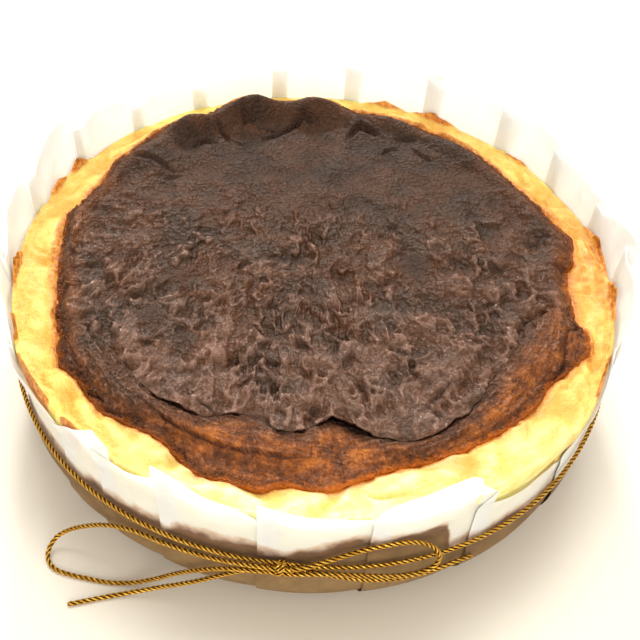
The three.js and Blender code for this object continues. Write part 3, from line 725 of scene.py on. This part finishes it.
# Folds seen on the skin: points, half width and height; a crease has a height below 0.
FOLDS = [
    ([(0.1, -18.0), (4.4, -27.0), (9.1, -37.5)], 0.9, 0.6),
    ([(26.6, -45.1), (29.1, -41.0), (31.8, -37.1), (34.9, -34.3)], 0.9, -0.7),
    ([(-13.0, -31.9), (-9.1, -33.3), (-5.6, -34.8)], 0.8, -0.7),
    ([(-45.8, -50.6), (-43.6, -50.9), (-40.7, -52.1)], 0.9, -1.0),
    ([(-51.8, 35.2), (-47.2, 35.0), (-43.4, 33.3), (-40.5, 31.6)], 1.1, -1.2),
    ([(-42.2, 28.4), (-38.5, 30.6)], 0.8, -0.7),
    ([(-36.5, 43.4), (-34.2, 45.5), (-30.8, 46.6)], 1.0, -1.6),
    ([(-31.4, 54.0), (-29.2, 50.5), (-27.0, 47.3)], 0.9, -1.6),
    ([(-25.9, 47.0), (-21.9, 45.5)], 0.7, -0.6),
    ([(-24.4, 56.4), (-21.6, 53.1), (-19.1, 52.6), (-13.7, 53.8)], 1.4, -2.4),
    ([(-17.3, 49.1), (-11.7, 54.0), (-7.6, 59.5), (-4.0, 57.9)], 1.2, -2.2),
    ([(5.6, 52.9), (8.2, 58.1), (11.2, 56.2), (13.2, 54.7)], 1.1, -2.0),
    ([(8.4, 61.9), (9.7, 56.2)], 0.9, 0.8),
    ([(2.2, 54.8), (6.0, 56.8), (8.1, 59.6)], 0.9, 0.6),
    ([(18.8, 53.1), (24.8, 53.5)], 0.9, -1.0),
    ([(15.0, 46.8), (17.0, 49.0), (20.4, 49.5)], 0.9, -1.1),
    ([(22.9, 49.4), (25.6, 47.5), (28.3, 45.4)], 0.9, -1.0),
    ([(-21.6, 21.8), (-24.2, 12.4), (-26.9, 6.2)], 1.0, 0.4),
    ([(-46.9, 0.2), (-49.4, -7.7)], 1.0, 0.5),
    ([(-10.2, -3.2), (-5.0, -2.6)], 0.8, -0.35),
    ([(-25.0, 16.8), (-21.4, 19.6)], 0.8, -0.35),
    ([(-24.2, -47.9), (-21.6, -48.8), (-19.6, -50.9)], 0.8, -0.7),
    ([(31.8, -37.1), (37.0, -33.8)], 0.8, 0.5),
    ([(64.5, -13.0), (61.5, -15.7), (60.4, -19.4), (60.3, -24.3), (58.8, -28.0), (56.4, -31.1)], 0.9, -1.1),
    ([(57.5, 5.6), (60.3, 5.9), (62.1, 6.1), (64.0, 7.5)], 0.8, -1.0),
    ([(-51.5, -45.0), (-47.9, -46.7), (-45.0, -48.4)], 0.9, -1.2),
]
# Dull smooth patches of the skin: x, y and half width, with the pits beside them.
PATCHES = [(-33.1, -9.5, 7), (-38.4, -23.1, 6), (-29.8, -29.3, 6), (24.6, 3.0, 8), (-30, 44, 12)]
PITS = [(-31.9, -13.6, 2.2), (-30.9, -26.2, 2.6), (-37.9, -30.9, 2.2)]


def crust_edge(angle):
    """Distance from the axis to the edge of the browned crust: its outline, ragged most at the left."""
    left = smooth((-cos_deg(angle) + 0.2) / 0.8)
    ragged = 0.4 * ring_noise(angle, 0.5, 90, 11) + 0.22 * ring_noise(angle, 0.5, 210, 13)
    return line(EDGE_LINE, angle) + ragged * (1 + 0.5 * left)


def lip_strength(angle):
    """How much the lip shows: fully across the front, fading out at the left and at the right."""
    a = turn(angle, 0)
    return smooth((a + 148) / 22) * smooth((-16 - a) / 24)


def skin_reach(angle):
    """Where the skin ends: 1 at the lip across the front, 0 at the crust's edge everywhere else."""
    a = turn(angle, 0)
    return smooth((a + 162) / 14) * smooth((-2 - a) / 14)


def lip_drop(angle):
    """How far the crust drops from the lip to the ring outside it."""
    return (LIP_STEP + waves(LIP_STEPS, angle)) * lip_strength(angle)


def lip_radius(angle):
    """Distance from the axis to the lip: its traced line, made uneven by noise."""
    fine = 0.5 * ring_noise(angle, 0.5, 70, 21) + 0.3 * ring_noise(angle, 0.5, 160, 23)
    return line(LIP_LINE, angle) + fine * lip_strength(angle)


def puffs(angle, radius):
    """The height of the puffs: each a bump round the cake times a bump across."""
    return sum(
        height * bump(turn(angle, middle), spread) * bump(radius - distance, across)
        for middle, distance, spread, across, height in PUFFS
    )


def wrinkles(x, y, heading):
    """Wrinkles that run along a heading: two sizes of soft noise drawn out along it, with hollows shallower
    than the crests, and the sharp short ridges on them."""
    across = x * cos_deg(heading) + y * sin_deg(heading)
    along = y * cos_deg(heading) - x * sin_deg(heading)
    large = noise(across / 2.3 + heading, along / 4.2, 33)
    middle = noise((0.9 * across + 0.4 * along) / 1.6 + heading, (0.9 * along - 0.4 * across) / 2.6, 34)
    level = 0.8 * large + 0.5 * middle
    ridges = crest(noise(across / 1.8 + heading, along / 4.0, 40), 2.5)
    ridges = ridges * smooth(1.8 * noise(x / 2.4, y / 2.4, 52) + 0.3)
    lone = crest(noise(across / 3.6 + heading, along / 7.5, 50), 4.0)
    lone = lone * smooth(2.2 * noise(x / 5, y / 5, 51) - 0.1)
    return np.where(level > 0, level, 0.6 * level), np.maximum(ridges, lone)


def calmness(x, y):
    """Where the skin is smooth: 0 over the front and the sides, rising towards the back and in patches."""
    back = 0.78 * smooth((y - 1) / 38)
    patch = 0.85 * np.max([bump(np.hypot(x - px, y - py), size) for px, py, size in PATCHES], axis=0)
    return np.maximum(back, patch)


def crumple(x, y):
    """The height of the leathery wrinkles, over soft lumps and a few pits, and how near a place is to a
    crest, from 0 to 1, which also paints light and shade: lighter on crests, on lumps and towards the front,
    darker in dips and pits. The wrinkles fan out from a point behind the middle: five sets, each with its own
    heading, are blended by the bearing from that point."""
    bearing = np.clip(np.degrees(np.arctan2(x - FAN_X, FAN_Y - y)), -2 * FAN_STEP, 2 * FAN_STEP)
    bent_x, bent_y = x + 0.7 * noise(x / 6, y / 6, 31), y + 0.7 * noise(x / 6, y / 6, 36)
    soft, sharp = 0 * x, 0 * x
    for heading in FAN_STEP * np.arange(-2, 3):
        share = bump(bearing - heading, FAN_STEP)
        level, ridges = wrinkles(bent_x, bent_y, heading)
        soft, sharp = soft + share * level, sharp + share * ridges
    calm = calmness(x, y)
    patchy = lerp(0.5, 1.3, smooth(0.5 + 1.2 * noise(x / 9, y / 9, 35)))
    strength = patchy * (1 - calm) * lerp(0.9, 1.25, smooth(-y / 40))
    lumps = noise(bent_x / 6.5, bent_y / 6.5, 37) * (1 - 0.7 * calm)
    pits = sum(bump(np.hypot(x - px, y - py), size) for px, py, size in PITS)
    height = (WRINKLE_RISE * soft + RIDGE_RISE * sharp) * strength + lumps - pits
    # painted light: the front and the tops of lumps lighter, pits darker
    lift = 0.36 + 0.13 * smooth(-y / 45) + 0.13 * lumps
    return height, clamp01(lift + (0.22 * soft + 0.5 * sharp) * strength - 0.3 * pits)


def fold_relief(x, y):
    """The height of the folds at a place, and how much shade is painted there, from 0 to 1: along a crease
    and in a broad band beside a deep one. A fold is highest or deepest along its line, falls off by a square
    and fades at both ends; a crease has raised sides."""
    height, crease_shade = 0 * x, 0 * x
    for points, width, rise in FOLDS:
        gap, place = 99 + 0 * x, 0 * x
        stretches = len(points) - 1
        for i in range(stretches):
            (ax, ay), (bx, by) = points[i], points[i + 1]
            dx, dy = bx - ax, by - ay
            t = clamp01(((x - ax) * dx + (y - ay) * dy) / (dx * dx + dy * dy))
            d = np.hypot(x - ax - t * dx, y - ay - t * dy)
            place = np.where(d < gap, (i + t) / stretches, place)
            gap = np.minimum(d, gap)
        taper = np.sqrt(np.maximum(0, np.sin(np.pi * (0.08 + 0.84 * place)))) * smooth(2 - gap / width)
        profile = np.maximum(0, 1 - gap / width) ** 2 * taper
        height = height + rise * profile
        if rise < 0:
            height = height - 0.3 * rise * bump(gap - 1.7 * width, 1.2 * width) * taper
            shade = 0.5 * smooth(-rise - 0.9) * bump(gap, 3 * width)
            crease_shade = np.maximum(crease_shade, np.maximum(shade, np.maximum(0, 1 - gap / (0.8 * width))) * taper)
    return height, crease_shade


def disc_height(angle, radius):
    """The top inside the lip: nearly flat, raised along the lip and billowed."""
    rise = smooth((radius - LIP_RISE_START) / (LIP_RISE_END - LIP_RISE_START))
    billow = 0.5 * sin_deg(2 * angle + 40) * smooth(radius / 40)
    return DISC_HEIGHT + LIP_RISE * rise * lip_strength(angle) + billow + puffs(angle, radius)


def blisters(angle, radius):
    """The rough fringe: round blisters a millimetre wide along the crust's edge."""
    x, y = radius * cos_deg(angle), radius * sin_deg(angle)
    near = smooth(1 - (crust_edge(angle) - radius) / 3.2)
    rough = 0.75 * np.abs(noise(x / 1.25, y / 1.25, 41)) + 0.3 * noise(x / 0.8, y / 0.8, 43)
    return near * rough * (1 + 0.6 * smooth(-cos_deg(angle)))


def ring_height(angle, radius):
    """The ring of crust outside the lip: a soft roll that turns down to its edge, with a second fold, a
    short steep step, along a part of the front."""
    lip, edge = lip_radius(angle), crust_edge(angle)
    share = clamp01((radius - lip) / (edge - lip))
    start = disc_height(angle, lip) - lip_drop(angle)
    roll = RING_ROLL * np.sin(np.pi * np.minimum(1, share * 1.1))
    puff = puffs(angle, radius)
    down = smooth((share - 0.45) / 0.55)
    height = lerp(start + roll + puff - puffs(angle, lip), CRUST_EDGE_HEIGHT + PUFF_AT_EDGE * puff, down)
    fade = 1 - smooth((share - SECOND_FOLD_SHARE) / (1 - SECOND_FOLD_SHARE))
    return height - SECOND_FOLD_STEP * second_fold(angle) * smooth(fold_gap(angle, radius) / 0.4 + 0.5) * fade


def second_fold(angle):
    """How much the second fold shows, from 0 to 1."""
    return smooth(bump(turn(angle, SECOND_FOLD_ANGLE), SECOND_FOLD_SPREAD) * 2.5)


def fold_gap(angle, radius):
    """Distance outwards from the line of the second fold, which waves and is uneven."""
    jagged = 0.35 * ring_noise(angle, 0.5, 50, 45)
    return radius - SECOND_FOLD_RADIUS - 0.5 * sin_deg(9 * angle) - jagged


def skin_height(angle, radius):
    """The skin: the disc, and beyond the lip's radius the ring with the lip's drop closed up."""
    lip, edge = lip_radius(angle), crust_edge(angle)
    share = clamp01((radius - lip) / (edge - lip))
    closed = ring_height(angle, radius) + lip_drop(angle) * (1 - share)
    level = np.where(radius < lip, disc_height(angle, radius), closed)
    x, y = radius * cos_deg(angle), radius * sin_deg(angle)
    fading = lerp(1, 0.5, smooth(1 - (edge - radius) / 9))
    fading = fading * lerp(1, 0.5, smooth(1 - np.abs(radius - lip) / 4) * lip_strength(angle))
    return level + crumple(x, y)[0] * fading + fold_relief(x, y)[0] + blisters(angle, radius)


def ring_share(angle, radius):
    """How far the crust is orange-brown instead of grey-brown: from the lip to the edge across the front,
    and a little along the edge elsewhere."""
    a = turn(angle, 0)
    front = smooth((a + 136) / 26) * smooth((8 - a) / 30)
    beyond = smooth((radius - lip_radius(angle) + 0.5) / 7) * front * lerp(1, 0.6, smooth((a + 55) / 40))
    edge = smooth(1 - (crust_edge(angle) - radius) / 8) * lerp(0.55, 0.3, smooth(sin_deg(angle)))
    lobe = bump(turn(angle, -18), 13) * smooth((radius - 60) / 4)
    return np.max([beyond, edge, lobe], axis=0)


# How dark the fringe is: angle, half width and share.
CHAR = [(-165, 75, 0.75), (-112, 36, 0.4), (-28, 40, 0.4), (25, 35, 0.35), (90, 80, 0.3)]


# Heights inside the cake, where the skin lies over the ring and the ring over the rim.
SKIN_UNDERSIDE = 38.2
RING_UNDERSIDE = 37.2
RIM_INNER_TOP = 36.6


def add_crust_piece(name, rings, poles, crease_shade, lift, calmest, material):
    """A crust piece and the numbers that its material reads: the gap to the crust's edge, how orange it is,
    how much shade is painted on it in creases and below the lip, how calm it is, how near a crest it lies,
    which also paints light on crests and shade in dips, and how dark its fringe is."""
    points, faces = round_body(rings, *poles)
    x, y = points[:, 0], points[:, 1]
    angle, radius = np.degrees(np.arctan2(y, x)), np.hypot(x, y)
    fields = {
        "edge_gap": crust_edge(angle) - radius,
        "ring": ring_share(angle, radius),
        "crease_shade": np.concatenate([[0], clamp01(crease_shade).ravel(), [0]]),
        "calm": np.maximum(calmness(x, y), calmest),
        "lift": np.concatenate([[0.4], clamp01(lift).ravel(), [0.4]]),
        "char": clamp01(0.3 + waves(CHAR, angle)) * (0.75 + 0.5 * ring_noise(angle, radius / 3, 40, 49)),
    }
    piece = make_piece(name, points, faces, material, fields)
    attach(piece, "root")
    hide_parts("cheesecake")


def stack_rows(angle, rows):
    """Rings of points from rows, each a distance from the axis and a height for every angle."""
    pairs = [np.broadcast_arrays(np.atleast_2d(r + 0 * angle), z + 0 * angle) for r, z in rows]
    radius, height = (np.concatenate(part) for part in zip(*pairs))
    return polar(angle, radius, height)


def add_skin(material):
    """The dark skin of the top: rings from the middle to its edge, which is the lip across the front and
    the crust's edge elsewhere, then round that edge and back below. Where the lip fades out, its edge
    sinks into the ring."""
    angle = ROUND
    lip, rim, reach = lip_radius(angle), crust_edge(angle), skin_reach(angle)
    edge = lerp(rim, lip, reach)
    share = np.linspace(0.008, 1, SKIN_ROWS)[:, None]
    radius = edge * share
    sink = 1.6 * (1 - lip_strength(angle)) * reach * smooth((share - 0.93) / 0.07)
    curl = 0.3 * lip_strength(angle) * smooth((share - 0.985) / 0.015)
    height = skin_height(angle, radius) - sink - curl
    top = height[-1]
    thick = LIP_THICKNESS / 2
    bend = np.array([50, 5, -45])[:, None]
    rows = [
        (radius, height), (edge + 0.8 * thick * cos_deg(bend), top - thick + thick * sin_deg(bend)),
        (edge - 0.7, top - 2 * thick - 0.1), (edge - 3.5, SKIN_UNDERSIDE + 0.4), (edge * 0.5, SKIN_UNDERSIDE),
    ]
    rings = stack_rows(angle, rows)
    crease_shade = fold_relief(rings[..., 0], rings[..., 1])[1]
    # painted shade below the lip: the rows that turn down and run back under the skin
    crease_shade[SKIN_ROWS + 1:] = np.maximum(crease_shade[SKIN_ROWS + 1:], 0.8 * lip_strength(angle))
    lift = crumple(rings[..., 0], rings[..., 1])[1]
    poles = (float(skin_height(0.0, 0.0)), SKIN_UNDERSIDE)
    add_crust_piece("browned_skin", rings, poles, crease_shade, lift, 0.0, material)


def add_outer_ring(material):
    """The layer that shows outside the lip at the front: rings from under the skin to the crust's edge,
    which turns down over the pale rim, and back below."""
    angle = ROUND
    lip, edge, hidden = lip_radius(angle), crust_edge(angle), 1 - skin_reach(angle)
    skin_edge = lerp(lip, edge, hidden)
    share = np.linspace(0, 1, RING_ROWS)[:, None]
    radius = lerp(lip - 2.5, edge - 0.3 * hidden, share)
    x, y = radius * cos_deg(angle), radius * sin_deg(angle)
    streaks = ring_noise(angle, radius / 0.9, 56, 47) + 0.6 * ring_noise(angle, radius / 0.6, 140, 62)
    grain = 0.3 * noise(x / 3, y / 3, 42) + 0.3 * noise(x / 1.3, y / 1.3, 46) + 0.12 * streaks
    creased, crease_shade = fold_relief(x, y)
    height = ring_height(angle, radius) + blisters(angle, radius) + grain + creased
    height = height - 0.5 * hidden - 2.4 * smooth((skin_edge - radius - 0.3) / 3)
    last = height[-1]
    rows = [
        (30.0, SKIN_UNDERSIDE), (radius, height), (edge + 0.2, last - 0.4), (edge + 0.1, last - 1.0),
        (edge - 2.5, last - 1.8), (edge * 0.5, RING_UNDERSIDE),
    ]
    rings = stack_rows(angle, rows)
    # painted shade: a dark line along the second fold and a shadow below the lip
    fold = second_fold(angle) * bump(fold_gap(angle, radius) - 0.1, 0.34)
    drop = lip_drop(angle)
    near_lip = smooth(1 - (radius - lip) / (0.5 + 0.4 * drop))
    lip_shadow = near_lip * clamp01(0.2 + drop / 2.4) * lip_strength(angle)
    dark = np.zeros(rings.shape[:2])
    dark[1:RING_ROWS + 1] = np.maximum(np.maximum(fold, crease_shade), lip_shadow)
    # streaks of tone, and painted highlights on small crests
    lift = np.full(rings.shape[:2], 0.4)
    lift[1:RING_ROWS + 1] = 0.4 + 0.2 * streaks + 0.3 * crest(noise(x / 1.5, y / 1.5, 64), 2.5)
    add_crust_piece("browned_ring", rings, (SKIN_UNDERSIDE, RING_UNDERSIDE), dark, lift, 0.3, material)


# ---- the pale rim and the side ----
# Where the rim next to the crust is scorched: angle, half width and how far across the rim it reaches.
SCORCH = [(-16, 8, 0.3), (-178, 22, 0.3), (-150, 14, 0.2), (62, 26, 0.5), (28, 16, 0.35), (100, 30, 0.4)]
# Where the rim is peach-coloured, and where the front is painted paler and lighter as the light falls on it:
# angle, half width and share.
BAKE = [(10, 46, 0.95), (-30, 26, 0.35), (62, 30, 0.5), (150, 34, 0.4), (-172, 40, 0.5)]
LIT_FRONT = [(-92, 48, 1.0), (-48, 26, 0.4)]


def crease_at(angle):
    """How close an angle is to a crease of the rim, from 0 to 1."""
    return np.max([np.exp(-((turn(angle, c) / CREASE_WIDTH) ** 2)) for c in RIM_CREASES], axis=0)


def fin_height(angle):
    """The toasted fins along the outer edge: pointed, with a ragged crest."""
    rise = sum(h * np.maximum(0, 1 - np.abs(turn(angle, a)) / w) ** 0.7 for a, w, h in FINS)
    return rise * (1 + 0.35 * ring_noise(angle, 0.5, 150, 55))


def rim_pillow(angle, share):
    """The rim's soft form, with how much shade is painted on a place, most in creases and on low lobes: a
    roll beside the crust, lobes between creases that wander outwards, and small lumps."""
    lobes = 1.3 * ring_noise(angle, 0.5 + 1.2 * share, 34, 51) + 0.8 * ring_noise(angle, 3 * share, 80, 53)
    roll = 0.8 * np.exp(-(((share - 0.2) / 0.13) ** 2)) * (1 + 0.8 * ring_noise(angle, 0.5, 44, 59))
    wander = angle + 2.5 * np.sin(3.2 * share + 0.2 * angle)
    small = crest(ring_noise(wander, 1.3 * share, 46, 60), 4) * smooth(0.5 + ring_noise(angle, share, 30, 58))
    crease_and_shade = np.maximum(crease_at(wander), 0.85 * small) * np.sin(np.pi * clamp01(share)) ** 0.8
    swell = RIM_SWELL * (1 + lobes) * np.sin(np.pi * clamp01(share)) ** 0.8
    return roll + swell - CREASE_DEPTH * crease_and_shade, clamp01(crease_and_shade - 0.5 * lobes * (share > 0))


def add_rim(material):
    """The cake below its crust: rings from under the crust's edge over the pillowed rim to its toasted
    outer edge, down the wall, round the corner and across the bottom."""
    angle = ROUND
    edge = crust_edge(angle)
    edge_height = CRUST_EDGE_HEIGHT + PUFF_AT_EDGE * puffs(angle, edge)
    wall = wall_radius(angle, RIM_HEIGHT)
    share = np.linspace(0, 1, RIM_ROWS)[:, None]
    radius = lerp(edge - 0.6, wall - 0.9, share)
    x, y = radius * cos_deg(angle), radius * sin_deg(angle)
    lumps = 0.42 * noise(x / 3.2, y / 3.2, 52) + 0.14 * noise(x / 1.4, y / 1.4, 54)
    pillow, crease_and_shade = rim_pillow(angle, share)
    slope = lerp(edge_height - 0.9, SHOULDER_HEIGHT, smooth(share))
    fin = fin_height(angle)
    corner = wall_radius(angle, CORNER_RADIUS) + CAKE_INSET - CORNER_RADIUS
    small = CORNER_RADIUS - CAKE_INSET
    bend = np.linspace(15, 90, 6)[:, None]
    level = np.linspace(RIM_HEIGHT, CORNER_RADIUS, 10)[:, None]
    rows = [
        (edge * 0.5, RIM_INNER_TOP), (edge - 3, RIM_INNER_TOP + 0.4),
        (radius, slope + pillow + lumps),
        (wall - 0.7, SHOULDER_HEIGHT + 0.6 * fin), (wall - 0.45 + 0.12 * fin, SHOULDER_HEIGHT + fin),
        (wall - 0.15, SHOULDER_HEIGHT + fin - 0.1), (wall - 0.02, SHOULDER_HEIGHT - 0.6 + 0.2 * fin),
        (wall_radius(angle, level), level),
        (corner + small * cos_deg(bend), CORNER_RADIUS - small * sin_deg(bend)),
    ]
    rings = stack_rows(angle, rows)
    points, faces = round_body(rings, RIM_INNER_TOP, CAKE_INSET)
    radius, height = np.hypot(points[:, 0], points[:, 1]), points[:, 2]
    place = np.degrees(np.arctan2(points[:, 1], points[:, 0]))
    outline, outside = crust_edge(place), wall_radius(place, RIM_HEIGHT)
    across = clamp01((radius - outline) / (outside - outline))
    patches = 0.5 + 0.9 * ring_noise(place, across * 2, 26, 57)
    near_fin = 0.7 * clamp01(fin_height(place) / 2)
    toast = smooth((across - 0.8) / 0.2) * smooth(patches - 0.35 + near_fin) * (height > 33)
    fins = clamp01((height - SHOULDER_HEIGHT - 0.3) / 1.4) * (across > 0.9)
    # painted shade of the rim's creases, on its top rows only
    creases = np.zeros(rings.shape[:2])
    creases[2:RIM_ROWS + 2] = crease_and_shade
    fields = {
        "across": across,
        "toast": clamp01(toast * (1 - waves(LIT_FRONT, place)) + fins),
        "scorch": smooth(1.15 - across / np.maximum(0.1 + waves(SCORCH, place), 0.02)),
        "crease_and_shade": np.concatenate([[0], creases.ravel(), [0]]),
        "bake": waves(BAKE, place),
        "lit_front": waves(LIT_FRONT, place),
    }
    piece = make_piece("pale_rim", points, faces, material, fields)
    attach(piece, "root")
    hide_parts("cheesecake")


# ---- the parchment ----
SHEET_THICKNESS = 0.12
OVERLAP = 3.2  # degrees that a pleat's hidden layers reach past its edge
RAGGED_EDGE = 0.35  # how far the free edge is cut unevenly
FACETS = 0.6  # how far slow facets move the sheet in and out
FINE_CREASES = 0.14  # and how far low creases do
CORD_PINCH = 0.12  # how far the cord presses it in
# The line on the wall below which the parchment is pinkish brown and tan: angle and height.
TAN_LINE = np.array([
    (-180, 20), (-137, 20.7), (-125, 22.6), (-120, 23.4), (-114.3, 23.9), (-113.1, 21.3), (-110.6, 25.9),
    (-106, 27.2), (-98, 25.6), (-95, 23.8), (-93, 24.4), (-80, 31.5), (-75, 30), (-64, 30.4), (-62, 20.6),
    (-56, 19.5), (-50, 22.3), (-30, 16), (0, 20), (90, 20),
]).T


def sheet_columns():
    """The path of the sheet round the cake, column by column: its angle, its share between pleats, how deep
    it lies under the outer layer, the height of its free edge and whether it is hidden. From one pleat to
    the next it is the outer layer; past the next pleat it runs on below, folds back and folds forward
    again."""
    angles, shares, depths, edges, hidden = [], [], [], [], []
    main = np.linspace(0, 1, FLAP_COLUMNS)
    fold = np.linspace(0, 1, TURN_COLUMNS + 1)
    for i in range(len(PLEATS)):
        start, end = PLEAT_ANGLE[i], NEXT_PLEAT[i]
        following = (i + 1) % len(PLEATS)
        tongue = np.sqrt(np.maximum(0, np.sin(np.pi * main)))
        angles.append(lerp(start, end, main))
        shares.append(main)
        depths.append(0 * main)
        edges.append(lerp(EDGE_AFTER[i], EDGE_BEFORE[i], main) + EDGE_ARCH[i] * tongue)
        hidden.append(0 * main)
        on = end + OVERLAP * fold[1:]
        back = end + OVERLAP * (1 - fold[:-1])
        span = NEXT_PLEAT[following] - PLEAT_ANGLE[following]
        for path, depth, share in ((on, 1.0, fold[1:] / 2), (back, 0.5, (1 + fold[:-1]) / 2)):
            angles.append(path)
            shares.append((path - end) / span)
            depths.append(0 * path + depth)
            edges.append(lerp(EDGE_BEFORE[i], EDGE_AFTER[following], share))
            hidden.append(0 * path + 1)
    return [np.concatenate(part) for part in (angles, shares, depths, edges, hidden)]


def add_parchment():
    """The sheet: a pole under the cake, rings across the bottom and round the corner, then rings up to the
    free edge. Low creases and slow facets move it a little in and out."""
    angle, share, depth, edge, hidden = sheet_columns()
    edge = edge + RAGGED_EDGE * ring_noise(angle, 0.5, 70, 61)
    columns = len(angle)

    def outside(height):
        return paper_radius(angle, height, share) - depth * pleat_step(height)

    across = np.linspace(0.12, 1, 6)[:-1, None]
    centre = outside(CORNER_RADIUS) - CORNER_RADIUS
    bend = np.linspace(90, 12, 8)[:, None]
    climb = np.linspace(0, 1, WALL_ROWS)[:, None]
    height = lerp(CORNER_RADIUS, edge, climb)
    facets = FACETS * ring_noise(angle, height / 9, 64, 63) * smooth((height - 20) / 16)
    creases = FINE_CREASES * ring_noise(angle, height / 2.4, 44, 65) * smooth((height - 6) / 8)
    pinch = -CORD_PINCH * np.exp(-(((height - BAND_HEIGHT) / 1.6) ** 2))
    rings = stack_rows(angle, [
        (centre * across, 0),
        (centre + CORNER_RADIUS * cos_deg(bend), CORNER_RADIUS - CORNER_RADIUS * sin_deg(bend)),
        (outside(height) + (facets + creases) * (1 - hidden) + pinch, height),
    ])
    height = rings[..., 2]
    count = len(rings)
    points = np.concatenate([[(0, 0, 0)], rings.reshape(-1, 3)])
    faces = [grid_faces(count, columns, True, first=1)[:, ::-1], fan_faces(0, 1, columns, False)]
    limit = np.interp(turn(angle, 0), *TAN_LINE)
    fields = {"below_tan_line": np.concatenate([[limit.mean()], (limit - height).ravel()])}
    piece = make_piece("parchment_case", points, faces, paper_material(), fields)
    piece.data.set_sharp_from_angle(angle=np.radians(50))
    thickness = piece.modifiers.new("thickness", "SOLIDIFY")
    thickness.thickness = SHEET_THICKNESS * MM
    thickness.offset = -1
    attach(piece, "root")
    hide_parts("paper_case")


# ---- floor and light ----
FLOOR_HALF = 3000.0


def add_floor():
    """A large square just below what the parchment stands on."""
    corners = np.array([(-1, -1, 0), (1, -1, 0), (1, 1, 0), (-1, 1, 0)]) * FLOOR_HALF - (0, 0, 0.02)
    floor = make_piece("floor", corners, [np.array([[0, 1, 2, 3]])], floor_material())


def add_light(name, place, target, size, watts, colour):
    """A square area light at a place, facing a target, both in millimetres."""
    back = unit(np.array(place, dtype=float) - np.array(target, dtype=float))
    side = unit(np.cross((0, 0, 1.0), back))
    pose = np.eye(4)
    pose[:3, :4] = np.stack([side, np.cross(back, side), back, np.array(place) * MM], axis=1)
    lamp = bpy.data.lights.new(name, "AREA")
    lamp.size = size * MM
    lamp.energy = watts
    lamp.color = colour
    holder = bpy.data.objects.new(name, lamp)
    holder.matrix_world = Matrix(pose.tolist())
    bpy.context.scene.collection.objects.link(holder)


def add_lights():
    """An even pale surround, two soft lights behind and above, and a wide one in front."""
    world = bpy.data.worlds.new("studio")
    world.use_nodes = True
    background = world.node_tree.nodes["Background"]
    background.inputs["Color"].default_value = (1.0, 0.96, 0.89, 1.0)
    background.inputs["Strength"].default_value = 0.88
    bpy.context.scene.world = world
    add_light("key", (-60, 700, 2085), (0, 0, 20), 1000, 33, (0.98, 0.99, 1.0))
    add_light("low", (-300, 1840, 1166), (0, 0, 30), 360, 30, (0.98, 0.99, 1.0))
    add_light("front", (150, -1950, 900), (0, 0, 30), 1500, 23, (1.0, 0.98, 0.95))


# ---- assembly ----
bpy.context.scene.view_settings.view_transform = "Standard"
add_camera()
add_cords(cord_material())
crust = crust_material()
add_skin(crust)
add_outer_ring(crust)
add_rim(cheese_material())
add_parchment()
add_floor()
add_lights()
